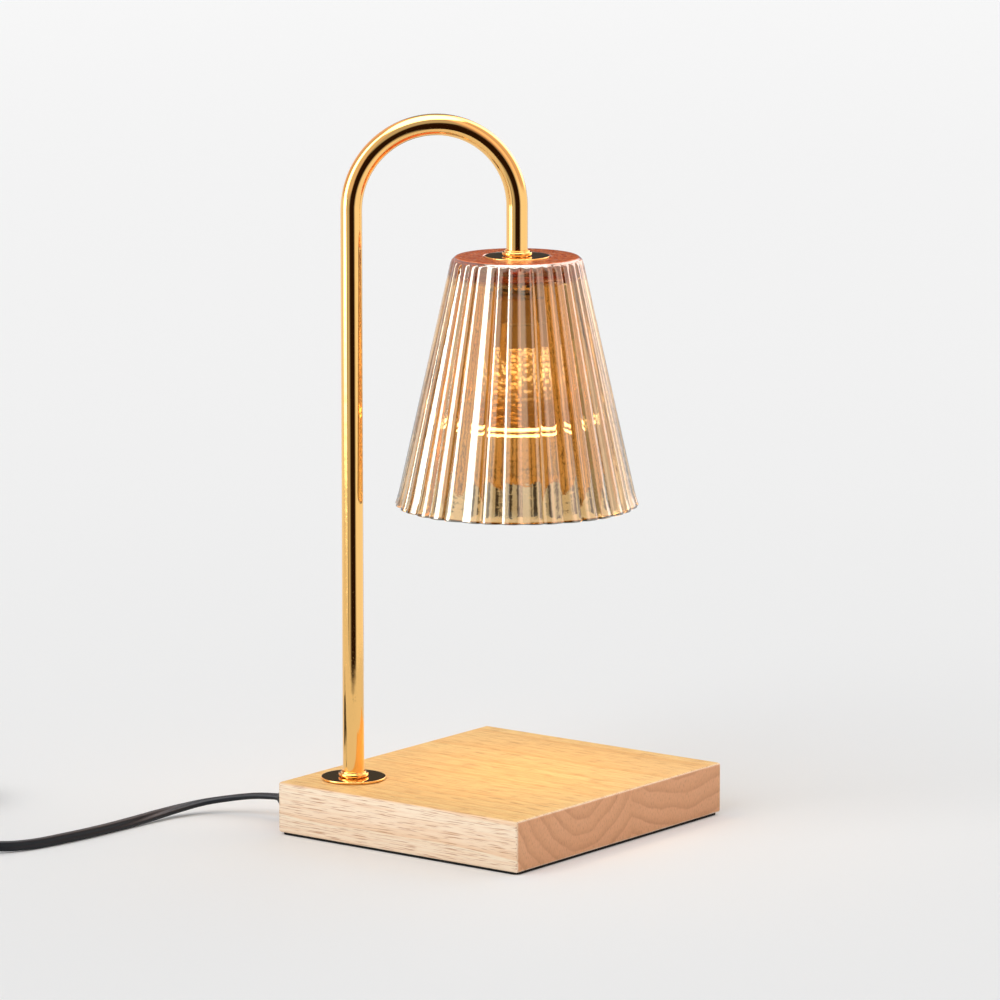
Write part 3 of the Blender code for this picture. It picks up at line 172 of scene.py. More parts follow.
def refined(node, skin, body="lamp", edge=0.0002, smoothBelow=35):
    # a merged, smooth-shaded copy of a CAD node with its edges eased
    bm = bmesh.new()
    bm.from_mesh(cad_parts[node].data)
    bmesh.ops.remove_doubles(bm, verts=bm.verts, dist=meshing["mergeWithin"])
    limit = math.radians(meshing["flatWithin"])
    bmesh.ops.dissolve_limit(bm, angle_limit=limit, verts=bm.verts, edges=bm.edges)
    piece = finished(node + "_piece", bm, skin, body, smoothBelow)
    if edge:
        bevel = piece.modifiers.new("eased edges", "BEVEL")
        bevel.width = edge
        bevel.segments = meshing["bevelSteps"]
        bevel.limit_method = "ANGLE"
        bevel.angle_limit = math.radians(meshing["bevelAbove"])
        bevel.harden_normals = True
    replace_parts(piece, node)
    return piece


def dress(skin, *nodes):
    for node in nodes:
        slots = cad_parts[node].data.materials
        if len(slots):
            slots[0] = skin
        else:
            slots.append(skin)


# Gold: steel tube, mirror-polished and gold-plated. It shows the studio as clean bands.

def goldPlate():
    made, tree, shader = newMaterial("polished gold plate", {
        "Base Color": linear("#FCC87A"), "Metallic": 1.0, "Roughness": 0.06,
    })
    place = addNode(tree, "ShaderNodeTexCoord").outputs["Object"]
    # the plating's faint waviness every 10 mm, and specks of dust under 1 mm
    waves = addNode(tree, "ShaderNodeTexNoise", inputs={"Vector": place, "Scale": 100, "Detail": 2})
    specks = addNode(tree, "ShaderNodeTexNoise", inputs={"Vector": place, "Scale": 1400, "Detail": 1})
    rough = addNode(tree, "ShaderNodeMapRange", inputs={
        "Value": specks.outputs["Fac"], "From Min": 0.55, "From Max": 0.8,
        "To Min": 0.05, "To Max": 0.18,
    })
    link(tree, rough.outputs["Result"], shader, "Roughness")
    bump = addNode(tree, "ShaderNodeBump", inputs={
        "Height": waves.outputs["Fac"], "Strength": 0.02, "Distance": 0.002,
    })
    link(tree, bump.outputs["Normal"], shader, "Normal")
    return made


pole = {
    "diameter": 0.010,
    "wall": 0.001,
    "setback": 0.0705,  # from the base's middle, along its diagonal
    "archRadius": 0.039,
    "sides": 64,
    "archSteps": 96,
}
baseLow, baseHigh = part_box("base_stave_near")[0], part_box("base_stave_far")[1]
armDirection = Vector((baseHigh.x - baseLow.x, baseHigh.y - baseLow.y, 0)).normalized()
poleAxis = -pole["setback"] * armDirection
shadeAxis = poleAxis + 2 * pole["archRadius"] * armDirection
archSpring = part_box("pole_tube")[1].z - pole["archRadius"] - pole["diameter"] / 2


def drawn(bm, faces, vector):
    moved = bmesh.ops.extrude_face_region(bm, geom=faces)["geom"]
    corners = [v for v in moved if isinstance(v, bmesh.types.BMVert)]
    bmesh.ops.translate(bm, verts=corners, vec=vector)
    return [f for f in moved if isinstance(f, bmesh.types.BMFace)]


def makePole(skin):
    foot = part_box("pole_tube")[0].z
    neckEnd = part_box("neck_nut")[0].z - pole["wall"]
    bm = bmesh.new()
    for radius in (pole["diameter"] / 2, pole["diameter"] / 2 - pole["wall"]):
        bmesh.ops.create_circle(bm, segments=pole["sides"], radius=radius)
    bmesh.ops.bridge_loops(bm, edges=bm.edges[:])
    bmesh.ops.translate(bm, verts=bm.verts[:], vec=(0, 0, foot))
    spring = drawn(bm, bm.faces[:], (0, 0, archSpring - foot))
    bend = bmesh.ops.spin(
        bm, geom=spring, cent=(pole["archRadius"], 0, archSpring), axis=(0, 1, 0), dvec=(0, 0, 0),
        angle=math.pi, steps=pole["archSteps"],
    )
    neck = [item for item in bend["geom_last"] if isinstance(item, bmesh.types.BMFace)]
    drawn(bm, neck, (0, 0, neckEnd - archSpring))
    bmesh.ops.delete(bm, geom=spring + neck, context="FACES_ONLY")
    turn = Matrix.Rotation(math.atan2(armDirection.y, armDirection.x), 4, "Z")
    bmesh.ops.transform(bm, matrix=Matrix.Translation(poleAxis) @ turn, verts=bm.verts[:])
    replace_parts(finished("pole_polished", bm, skin), "pole_tube")


fittings = {
    "sides": 96,
    "bore": 0.0053,
    "flangeRadius": 0.01515,
    "collarRadius": 0.00695,
    "ringHeight": 0.0015,
    "lipRadius": 0.0059,
    "edge": 0.00035,
}


def makeFittings(skin):
    # a thin disc with an eased rim, and on it a low ring with a lip:
    # one pair at the pole's foot and one on the shade
    bore, wide = fittings["bore"], fittings["flangeRadius"]
    ring, lip = fittings["collarRadius"], fittings["lipRadius"]
    for disc, collar, axis in (
        ("base_flange", "base_collar", poleAxis),
        ("cap_disc", "cap_collar", shadeAxis),
    ):
        low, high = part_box(disc)[0].z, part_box(disc)[1].z
        outline = eased([(bore, low), (wide, low), (wide, high), (bore, high)], fittings["edge"])
        bm = turned(outline, fittings["sides"])
        bmesh.ops.translate(bm, verts=bm.verts[:], vec=axis)
        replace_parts(finished(disc + "_turned", bm, skin), disc)
        low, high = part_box(collar)[0].z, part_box(collar)[1].z
        middle = low + fittings["ringHeight"]
        outline = [
            (bore, low), (ring, low), (ring, middle), (lip, middle), (lip, high), (bore, high),
        ]
        bm = turned(eased(outline, 2 * fittings["edge"]), fittings["sides"])
        bmesh.ops.translate(bm, verts=bm.verts[:], vec=axis)
        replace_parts(finished(collar + "_turned", bm, skin), collar)


# Shade: pressed glass with a fired amber lustre, which mirrors like a thin metal film

shade = {
    "ribs": 36,
    "sidesPerRib": 14,
    "ribDepthShare": 0.14,  # of a rib's width
    "ribFullness": 2.5,  # the power of the rib's curve: 2 is a parabola, more is flatter
    "rimRadius": 0.0565,
    "topRadius": 0.0303,
    "flare": 0.0005,
    "flareHeight": 0.008,
    "shoulderRound": 0.0018,
    "ribEndHeight": 0.0026,
    "ribsStopBelowTop": 0.0012,
    "mostLean": 0.38,  # in half rib widths
    "leanTurn": 2.4,  # radians that the lean's sine moves on from rib to rib
    "wall": 0.0024,
    "topThickness": 0.0068,
    "innerRound": 0.006,
    "rimRound": 0.0007,
    "bore": 0.0053,
    "recessRadius": 0.01575,
    "recessDepth": 0.002,
    "recessEdge": 0.0004,
    # where the rings of the mesh lie: heights over the rim, and radii
    "outsideHeights": [0.002, 0.004, 0.006, 0.008, 0.03, 0.06, 0.09],
    "insideHeights": [0.08, 0.05, 0.02, 0.008, 0.004],
    "topRadii": (0.026, 0.020),
    "recessRing": 0.010,
    "ceilingRadii": (0.010, 0.016),
    "rimAngles": (0, 30, 60, 90),
    "ribEndSteps": 8,
    "shoulderSteps": 5,
    "innerSteps": 6,
    # how far a face looks up or out to count as top or outside
    "topZone": 0.003,
    "slopesUp": 0.3,
    "facesUp": 0.8,
    "facesOut": 0.2,
}
shadeRim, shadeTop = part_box("glass_shade")[0].z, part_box("glass_shade")[1].z
shadeHeight = shadeTop - shadeRim


def shadeCrest(height):
    flare = shade["flare"] * max(0.0, 1 - height / shade["flareHeight"]) ** 2
    taper = (shade["topRadius"] - shade["rimRadius"]) * height / shadeHeight
    return shade["rimRadius"] + taper + flare


ribEndStart = shadeHeight - shade["ribsStopBelowTop"] - shade["ribEndHeight"]


def shadeRadius(angle, height):
    # full, rounded ribs with sharp grooves between them, and round tops close under the shoulder
    crest = shadeCrest(height)
    depth = shade["ribDepthShare"] * crest * math.tau / shade["ribs"]
    number, share = divmod(angle / math.tau * shade["ribs"], 1)
    # no two ribs came out of the mould quite alike: each leans a little to one side
    lean = shade["mostLean"] * math.sin(shade["leanTurn"] * number)
    across = 2 * share - 1
    across = abs(across + lean * (1 - across**2))
    pastStart = min(1.0, max(0.0, height - ribEndStart) / shade["ribEndHeight"])
    bulge = (1 - across ** shade["ribFullness"]) * math.sqrt(1 - pastStart**2)
    shoulder = shade["shoulderRound"]
    overShoulder = min(1.0, max(0.0, height - shadeHeight + shoulder) / shoulder)
    rounding = shoulder * (1 - math.sqrt(1 - overShoulder**2))
    return crest - depth * (1 - bulge) - rounding


def shadeInside(height):
    return shadeRadius(0, height) - shade["wall"]


def shadeRings():
    # (height, radius) of each ring, where radius is a number or a function of the angle
    rimRound = shade["rimRound"]
    rings = []
    for degrees in shade["rimAngles"]:
        a = math.radians(degrees)
        height, inset = rimRound * (1 - math.cos(a)), rimRound * (1 - math.sin(a))
        rings.append((height, lambda angle, h=height, i=inset: shadeRadius(angle, h) - i))
    endHeight, endSteps = shade["ribEndHeight"], shade["ribEndSteps"]
    shoulder, shoulderSteps = shade["shoulderRound"], shade["shoulderSteps"]
    heights = shade["outsideHeights"] + [ribEndStart]
    for i in range(1, endSteps + 1):
        heights.append(ribEndStart + endHeight * math.sin(math.pi * i / (2 * endSteps)))
    for i in range(1, shoulderSteps + 1):
        heights.append(shadeHeight - shoulder * (1 - math.sin(math.pi * i / (2 * shoulderSteps))))
    for height in sorted(heights):
        rings.append((height, lambda angle, h=height: shadeRadius(angle, h)))
    ceiling = shadeHeight - shade["topThickness"]
    recess, floor, edge = shade["recessRadius"], shadeHeight - shade["recessDepth"], shade["recessEdge"]
    rings += [(shadeHeight, radius) for radius in (*shade["topRadii"], recess + edge)]
    rings += [(shadeHeight - edge, recess), (floor, recess), (floor, shade["recessRing"])]
    rings += [(floor, shade["bore"]), (ceiling, shade["bore"])]
    rings += [(ceiling, radius) for radius in shade["ceilingRadii"]]
    bend = shade["innerRound"]
    bendStart = ceiling - bend
    bendCentre = shadeInside(bendStart) - bend
    for i in range(shade["innerSteps"] + 1):
        a = math.pi / 2 * (1 - i / shade["innerSteps"])
        rings.append((bendStart + bend * math.sin(a), bendCentre + bend * math.cos(a)))
    rings += [(height, shadeInside(height)) for height in shade["insideHeights"]]
    for degrees in reversed(shade["rimAngles"]):
        a = math.radians(degrees)
        height = rimRound * (1 - math.cos(a))
        rings.append((height, shadeInside(height) + rimRound * (1 - math.sin(a))))
    return rings


def makeShade(skin, insideSkin, topSkin):
    bm = bmesh.new()
    sides = shade["ribs"] * shade["sidesPerRib"]
    bmesh.ops.create_circle(bm, segments=sides, radius=shade["rimRadius"])
    edges, corners = bm.edges[:], bm.verts[:]
    firstEdges = edges
    angles = [math.atan2(v.co.y, v.co.x) % math.tau for v in corners]
    for number, (height, radius) in enumerate(shadeRings()):
        if number:
            raised = bmesh.ops.extrude_edge_only(bm, edges=edges)["geom"]
            edges = [e for e in raised if isinstance(e, bmesh.types.BMEdge)]
            corners = [v for v in raised if isinstance(v, bmesh.types.BMVert)]
            angles = [math.atan2(v.co.y, v.co.x) % math.tau for v in corners]
        for corner, angle in zip(corners, angles):
            reach = radius(angle) if callable(radius) else radius
            corner.co = (reach * math.cos(angle), reach * math.sin(angle), height)
    bmesh.ops.bridge_loops(bm, edges=firstEdges + edges)
    bmesh.ops.translate(bm, verts=bm.verts[:], vec=(shadeAxis.x, shadeAxis.y, shadeRim))
    piece = finished("shade_glass", bm, skin, smoothBelow=40)
    piece.data.materials.append(insideSkin)
    piece.data.materials.append(topSkin)
    middle = Vector((shadeAxis.x, shadeAxis.y, 0))
    for face in piece.data.polygons:
        # the lustre is fired on the outside only: slot 0 there, 1 inside and 2 on the flat top
        outward = Vector((face.center.x, face.center.y, 0)) - middle
        facing = face.normal.dot(outward.normalized())
        atTop = face.normal.z > shade["slopesUp"] and face.center.z > shadeTop - shade["topZone"]
        if atTop and face.normal.z > shade["facesUp"]:
            face.material_index = 2
        elif atTop or facing > shade["facesOut"]:
            face.material_index = 0
        else:
            face.material_index = 1
    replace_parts(piece, "glass_shade")


glass = {
    "ior": 1.52,
    "film": 68,  # nanometres of fired lustre on the outside
    "filmIor": 2.2,
    "wallTones": [(0.3, "#F2BE74"), (0.7, "#FBCF8C")],
    "heavyTone": "#E06030",
    "heavyFrom": 0.008,  # under the top
    "heavyFull": 0.0005,
    "topTones": [(0.3, "#C24812"), (0.46, "#EE6A2C"), (0.58, "#FA8848"), (0.7, "#FFC8A0")],
}


def amberGlass(name, film):
    # soda glass tinted through, fire-polished; the lustre on its outside makes it half a mirror
    made, tree, shader = newMaterial(name, {
        "Roughness": 0.03, "IOR": glass["ior"], "Transmission Weight": 1.0,
        "Thin Film Thickness": film, "Thin Film IOR": glass["filmIor"],
    })
    place = addNode(tree, "ShaderNodeTexCoord").outputs["Object"]
    axes = addNode(tree, "ShaderNodeSeparateXYZ", inputs={"Vector": place})
    # the colour is deeper and redder in the heavy top
    height = addNode(tree, "ShaderNodeMapRange", inputs={
        "Value": axes.outputs["Z"],
        "From Min": shadeTop - glass["heavyFrom"], "From Max": shadeTop - glass["heavyFull"],
    })
    cloud = addNode(tree, "ShaderNodeTexNoise", inputs={"Vector": place, "Scale": 60, "Detail": 4})
    wall = addNode(tree, "ShaderNodeValToRGB", inputs={"Fac": cloud.outputs["Fac"]})
    setStops(wall, glass["wallTones"])
    colour = addNode(tree, "ShaderNodeMix", {"data_type": "RGBA"}, {
        "Factor": height.outputs["Result"], "A": wall.outputs["Color"], "B": linear(glass["heavyTone"]),
    })
    link(tree, colour.outputs["Result"], shader, "Base Color")
    # pressed glass keeps a slight ripple from its mould, a few millimetres from crest to crest
    ripple = addNode(tree, "ShaderNodeTexNoise", inputs={"Vector": place, "Scale": 350, "Detail": 3})
    bump = addNode(tree, "ShaderNodeBump", inputs={
        "Height": ripple.outputs["Fac"], "Strength": 0.12, "Distance": 0.0005,
    })
    link(tree, bump.outputs["Normal"], shader, "Normal")
    return made


def rubyTop():
    # the heavy top pools the amber into an orange red, with paler flecks where the film is thin
    made, tree, shader = newMaterial("orange-red top glass", {
        "Roughness": 0.15, "IOR": glass["ior"], "Transmission Weight": 0.1,
    })
    place = addNode(tree, "ShaderNodeTexCoord").outputs["Object"]
    cloud = addNode(tree, "ShaderNodeTexNoise", inputs={
        "Vector": place, "Scale": 420, "Detail": 5, "Roughness": 0.7,
    })
    tones = addNode(tree, "ShaderNodeValToRGB", inputs={"Fac": cloud.outputs["Fac"]})
    setStops(tones, glass["topTones"])
    link(tree, tones.outputs["Color"], shader, "Base Color")
    bump = addNode(tree, "ShaderNodeBump", inputs={
        "Height": cloud.outputs["Fac"], "Strength": 0.3, "Distance": 0.0004,
    })
    link(tree, bump.outputs["Normal"], shader, "Normal")
    return made


# Wood: two boards of rubberwood, pale, with short brown pores and wide growth rings

wood = {
    "nearHeart": (-0.028, 0.0435),  # (y, z) of the tree's middle for each board
    "farHeart": (0.055, 0.115),
    "boardShift": 0.37,  # along the trunk, from one board's pattern to the other's
    "ringWidth": 0.0074,
    "ringDrift": 0.008,
    # patterns in repeats per metre along, across and up the board
    "wanderScale": (6, 40, 40),
    "fibreScale": (22, 800, 800),
    "poreScale": (75, 2200, 2200),
    "rayScale": (1, 2200, 500),
    "sideTones": [(0.0, "#FFECD2"), (0.75, "#FFE5C8"), (0.94, "#F6D2AC"), (1.0, "#FFECD2")],
    "fibreTone": "#F4CFAA",
    "poreTone": "#C48E66",
    # painted light: a warm tint multiplied onto the top faces, for the lamp's light on the top
    "lampWarmTopTone": "#F6E4AE",
    "endTones": [(0.0, "#F0B486"), (0.55, "#E8AB7C"), (0.9, "#CE9064"), (1.0, "#F0B486")],
    "endPlain": "#E4A576",
    "fleckTone": "#B87C54",
}


def rubberwood(name, heart, seed):
    made, tree, shader = newMaterial(name, {"Roughness": 0.5})
    place = addNode(tree, "ShaderNodeTexCoord").outputs["Object"]
    shifted = addNode(tree, "ShaderNodeMapping", inputs={
        "Vector": place, "Location": (seed * wood["boardShift"], -heart[0], -heart[1]),
    })
    # the rings wander by a few millimetres along the board
    stretch = addNode(tree, "ShaderNodeMapping", inputs={
        "Vector": shifted.outputs["Vector"], "Scale": wood["wanderScale"],
    })
    wander = addNode(tree, "ShaderNodeTexNoise", inputs={
        "Vector": stretch.outputs["Vector"], "Scale": 1, "Detail": 3,
    })
    axes = addNode(tree, "ShaderNodeSeparateXYZ", inputs={"Vector": shifted.outputs["Vector"]})
    across = addNode(tree, "ShaderNodeCombineXYZ", inputs={
        "Y": axes.outputs["Y"], "Z": axes.outputs["Z"],
    })
    reach = addNode(tree, "ShaderNodeVectorMath", {"operation": "LENGTH"}, {
        "Vector": across.outputs["Vector"],
    })
    drift = addNode(tree, "ShaderNodeMath", {"operation": "MULTIPLY_ADD"}, {
        0: wander.outputs["Fac"], 1: wood["ringDrift"], 2: reach.outputs["Value"],
    })
    rings = addNode(tree, "ShaderNodeMath", {"operation": "MULTIPLY"}, {
        0: drift.outputs["Value"], 1: 1 / wood["ringWidth"],
    })
    ring = addNode(tree, "ShaderNodeMath", {"operation": "FRACT"}, {0: rings.outputs["Value"]})
    tone = addNode(tree, "ShaderNodeValToRGB", inputs={"Fac": ring.outputs["Value"]})
    setStops(tone, wood["sideTones"])
    # fibres: soft lighter and darker lines, about a millimetre wide and 45 mm long
    fibre = addNode(tree, "ShaderNodeMapping", inputs={"Vector": place, "Scale": wood["fibreScale"]})
    fibres = addNode(tree, "ShaderNodeTexNoise", inputs={
        "Vector": fibre.outputs["Vector"], "Scale": 1, "Detail": 4,
    })
    fibreShare = addNode(tree, "ShaderNodeMapRange", inputs={
        "Value": fibres.outputs["Fac"], "From Min": 0.45, "From Max": 0.72, "To Max": 0.8,
    })
    lined = addNode(tree, "ShaderNodeMix", {"data_type": "RGBA"}, {
        "Factor": fibreShare.outputs["Result"],
        "A": tone.outputs["Color"], "B": linear(wood["fibreTone"]),
    })
    # pores: thin brown dashes about 13 mm long, drawn a little coarser than real so that they show
    poreSpace = addNode(tree, "ShaderNodeMapping", inputs={"Vector": place, "Scale": wood["poreScale"]})
    pores = addNode(tree, "ShaderNodeTexNoise", inputs={
        "Vector": poreSpace.outputs["Vector"], "Scale": 1, "Detail": 2,
    })
    pore = addNode(tree, "ShaderNodeMapRange", inputs={
        "Value": pores.outputs["Fac"], "From Min": 0.54, "From Max": 0.64, "To Max": 0.85,
    })
    streaked = addNode(tree, "ShaderNodeMix", {"data_type": "RGBA"}, {
        "Factor": pore.outputs["Result"], "A": lined.outputs["Result"], "B": linear(wood["poreTone"]),
    })
    # painted light: the top faces are tinted warmer than the sides, standing in for the lamp's warm light
    # that falls on the top
    facing = addNode(tree, "ShaderNodeNewGeometry")
    normal = addNode(tree, "ShaderNodeSeparateXYZ", inputs={"Vector": facing.outputs["Normal"]})
    topShare = addNode(tree, "ShaderNodeMapRange", inputs={
        "Value": normal.outputs["Z"], "From Min": 0.6, "From Max": 0.95,
    })
    lampWarmedTop = addNode(tree, "ShaderNodeMix", {"data_type": "RGBA", "blend_type": "MULTIPLY"}, {
        "Factor": topShare.outputs["Result"],
        "A": streaked.outputs["Result"], "B": linear(wood["lampWarmTopTone"]),
    })
    # end grain drinks the oil and turns a reddish tan, with soft rings and fine rays
    endways = addNode(tree, "ShaderNodeMath", {"operation": "ABSOLUTE"}, {0: normal.outputs["X"]})
    endShare = addNode(tree, "ShaderNodeMapRange", inputs={
        "Value": endways.outputs["Value"], "From Min": 0.75, "From Max": 0.95,
    })
    endTone = addNode(tree, "ShaderNodeValToRGB", inputs={"Fac": ring.outputs["Value"]})
    setStops(endTone, wood["endTones"])
    cloud = addNode(tree, "ShaderNodeTexNoise", inputs={"Vector": place, "Scale": 70, "Detail": 4})
    clouded = addNode(tree, "ShaderNodeMix", {"data_type": "RGBA"}, {
        "Factor": cloud.outputs["Fac"], "A": endTone.outputs["Color"], "B": linear(wood["endPlain"]),
    })
    raySpace = addNode(tree, "ShaderNodeMapping", inputs={"Vector": place, "Scale": wood["rayScale"]})
    fleck = addNode(tree, "ShaderNodeTexNoise", inputs={
        "Vector": raySpace.outputs["Vector"], "Scale": 1, "Detail": 2,
    })
    fleckShare = addNode(tree, "ShaderNodeMapRange", inputs={
        "Value": fleck.outputs["Fac"], "From Min": 0.5, "From Max": 0.72, "To Max": 0.55,
    })
    endFlecked = addNode(tree, "ShaderNodeMix", {"data_type": "RGBA"}, {
        "Factor": fleckShare.outputs["Result"],
        "A": clouded.outputs["Result"], "B": linear(wood["fleckTone"]),
    })
    colour = addNode(tree, "ShaderNodeMix", {"data_type": "RGBA"}, {
        "Factor": endShare.outputs["Result"], "A": lampWarmedTop.outputs["Result"], "B": endFlecked.outputs["Result"],
    })
    link(tree, colour.outputs["Result"], shader, "Base Color")
    bump = addNode(tree, "ShaderNodeBump", {"invert": True}, {
        "Height": pore.outputs["Result"], "Strength": 0.25, "Distance": 0.0002,
    })
    link(tree, bump.outputs["Normal"], shader, "Normal")
    return made


# Cord: flat twin lead in black vinyl, 5 by 2.6 mm

cord = {
    "width": 0.005,
    "thickness": 0.0026,
    "step": 0.004,
    "floorGap": 0.0001,
    "turns": 7.25,
    "meanRadius": 0.030,
    "pitch": 0.00555,
    "pointsPerTurn": 32,
    "coilMiddle": (-0.257, -0.142),
    "coilFloor": 0.00365,
    "flatFor": 0.030,  # it leaves the base lying flat
    "edgeFrom": 0.105,  # and has turned onto its edge by here
    "endGap": 0.0003,  # between the cord's ends and what they enter
    "straightEnd": 0.003,
    "coilLead": 0.005,
    "coreArc": 260,  # degrees of each core that show outside the groove
    "coreSteps": 10,
}
onEdge = cord["floorGap"] + cord["width"] / 2
gap, straight = cord["endGap"], cord["straightEnd"]
reliefTip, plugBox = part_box("strain_relief"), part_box("plug_body")
sleeveOut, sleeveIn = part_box("switch_sleeve_out"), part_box("switch_sleeve_in")
partingHeight = (sleeveIn[0].z + sleeveIn[1].z) / 2
switchY = (sleeveIn[0].y + sleeveIn[1].y) / 2
boreHeight = (reliefTip[0].z + reliefTip[1].z) / 2
cordExit = Vector((reliefTip[0].x - gap, (reliefTip[0].y + reliefTip[1].y) / 2, boreHeight))
coilX, coilY = cord["coilMiddle"]
coilReach = cord["meanRadius"] + cord["turns"] * cord["pitch"] / 4
coilHole = cord["meanRadius"] - cord["turns"] * cord["pitch"] / 4
coilStart = Vector((coilX - coilReach, coilY, cord["coilFloor"]))
coilEnd = Vector((coilX, coilY + coilReach, cord["coilFloor"] + cord["pitch"]))
plugEntry = Vector((plugBox[1].x, (plugBox[0].y + plugBox[1].y) / 2, (plugBox[0].z + plugBox[1].z) / 2))


def smoothRoute(points, step):
    # points about one step apart on a smooth curve through the route's own points
    route = [Vector(p) for p in points]
    route = [2 * route[0] - route[1]] + route + [2 * route[-1] - route[-2]]
    found = []
    for before, start, end, after in zip(route, route[1:], route[2:], route[3:]):
        count = max(1, round((end - start).length / step))
        for i in range(count):
            t = i / count
            pull = -before + end + t * (2 * before - 5 * start + 4 * end - after)
            pull += t * t * (3 * start - before - 3 * end + after)
            found.append(start + pull * t / 2)
    return found + [route[-2]]


def runRoute():
    return smoothRoute([
        cordExit,
        cordExit - Vector((straight, 0, 0)),
        (-0.0985, cordExit.y - 0.0007, boreHeight - 0.0003),
        (-0.106, -0.0555, boreHeight - 0.0010),
        (-0.116, -0.0595, boreHeight - 0.0027),
        (-0.1255, -0.0672, 0.0055),
        (-0.1308, -0.0785, 0.0040),
        (-0.1330, -0.0925, 0.0031),
        (-0.1337, -0.1100, onEdge),
        (-0.1345, -0.1340, onEdge),
        (-0.1368, -0.1550, onEdge),
        (-0.1405, -0.1740, onEdge),
        (-0.1474, -0.1880, 0.0032),
        (-0.1597, -0.1984, 0.0050),
        (-0.1728, -0.2023, 0.0074),
        (sleeveIn[1].x + gap + straight, switchY, partingHeight),
        (sleeveIn[1].x + gap, switchY, partingHeight),
    ], cord["step"])


def leadInRoute():
    return smoothRoute([
        (sleeveOut[0].x - gap, switchY, partingHeight),
        (sleeveOut[0].x - gap - straight, switchY, partingHeight),
        (-0.2825, -0.2018, 0.0074),
        (-0.2890, -0.1975, 0.0062),
        (-0.2945, -0.1885, 0.0050),
        (-0.2967, -0.1760, 0.0042),
        (coilStart.x, -0.1600, cord["coilFloor"]),
        coilStart - Vector((0, cord["coilLead"], 0)),
    ], cord["step"])


def coilRoute():
    # in to the hole on the floor layer, up one layer, and out again on top
    steps = round(cord["turns"] * cord["pointsPerTurn"])
    points = []
    for i in range(steps + 1):
        turns = cord["turns"] * i / steps
        radius = coilHole + cord["pitch"] * abs(turns - cord["turns"] / 2)
        climb = min(1.0, max(0.0, 2 * (turns - cord["turns"] / 2) + 0.5))
        height = cord["coilFloor"] + cord["pitch"] * climb * climb * (3 - 2 * climb)
        angle = math.pi - math.tau * turns
        points.append(Vector((
            coilX + radius * math.cos(angle), coilY + radius * math.sin(angle), height,
        )))
    return points


def leadOutRoute():
    top = coilEnd.z
    return smoothRoute([
        coilEnd + Vector((cord["coilLead"], 0, 0)),
        coilEnd + Vector((cord["coilLead"] + straight, 0, 0)),
        (-0.2420, -0.1034, top + 0.0012),
        (-0.2335, -0.1076, top + 0.0038),
        (-0.2240, -0.1160, top + 0.0060),
        (-0.2185, -0.1270, top + 0.0069),
        (-0.2170, -0.1395, top + 0.0078),
        (-0.2190, -0.1520, top + 0.0089),
        (-0.2250, -0.1630, top + 0.0102),
        (-0.2320, -0.1700, top + 0.0108),
        plugEntry + Vector((gap + straight, 0, 0)),
        plugEntry + Vector((gap, 0, 0)),
    ], cord["step"])


def twinProfile():
    # two round cores side by side with a groove between them; the wide way is up
    core = cord["thickness"] / 2
    apart = cord["width"] / 2 - core
    arc, steps = cord["coreArc"], cord["coreSteps"]
    points = []
    for middle, outwards in ((apart, 90), (-apart, 270)):
        for i in range(steps + 1):
            a = math.radians(outwards - arc / 2 + arc * i / steps)
            points.append((core * math.cos(a), middle + core * math.sin(a)))
    curve = bpy.data.curves.new("twin lead outline", "CURVE")
    spline = curve.splines.new("POLY")
    spline.points.add(len(points) - 1)
    for spot, (x, y) in zip(spline.points, points):
        spot.co = (x, y, 0, 1)
    spline.use_cyclic_u = True
    profile = bpy.data.objects.new("twin lead outline", curve)
    bpy.context.scene.collection.objects.link(profile)
    return profile


def layCord(name, path, flatness, skin, profile):
    # flatness turns the lead about its own line, from 0 on its edge to 1 lying flat
    curve = bpy.data.curves.new(name, "CURVE")
    curve.dimensions = "3D"
    curve.twist_mode = "Z_UP"
    curve.bevel_mode = "OBJECT"
    curve.bevel_object = profile
    curve.use_fill_caps = True
    spline = curve.splines.new("POLY")
    spline.points.add(len(path) - 1)
    for spot, place, flat in zip(spline.points, path, flatness):
        spot.co = (*place, 1)
        spot.tilt = flat * math.pi / 2
    holder = bpy.data.objects.new(name, curve)
    bpy.context.scene.collection.objects.link(holder)
    graph = bpy.context.evaluated_depsgraph_get()
    bm = bmesh.new()
    bm.from_mesh(bpy.data.meshes.new_from_object(holder.evaluated_get(graph)))
    bpy.data.objects.remove(holder)
    return finished(name, bm, skin, smoothBelow=50)


def lengthOf(path):
    return sum((b - a).length for a, b in zip(path, path[1:]))


def makeCords(skin):
    profile = twinProfile()
    run = runRoute()
    along, flatness = 0.0, []
    for i, place in enumerate(run):
        along += (place - run[i - 1]).length if i else 0.0
        share = (along - cord["flatFor"]) / (cord["edgeFrom"] - cord["flatFor"])
        share = min(1.0, max(0.0, share))
        flatness.append(1 - share * share * (3 - 2 * share))
    first = layCord("mains_cord", run, flatness, skin, profile)
    rest = leadInRoute() + coilRoute() + leadOutRoute()
    second = layCord("mains_cord_wound", rest, [0.0] * len(rest), skin, profile)
    bpy.data.objects.remove(profile)
    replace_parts(first, "cord_run")
    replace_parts(second, "cord_lead_in", "cord_coil", "cord_lead_out")
    print(f"cord: {lengthOf(run):.3f} m to the switch, {lengthOf(rest):.3f} m from it to the plug")
    return first, run, second, rest


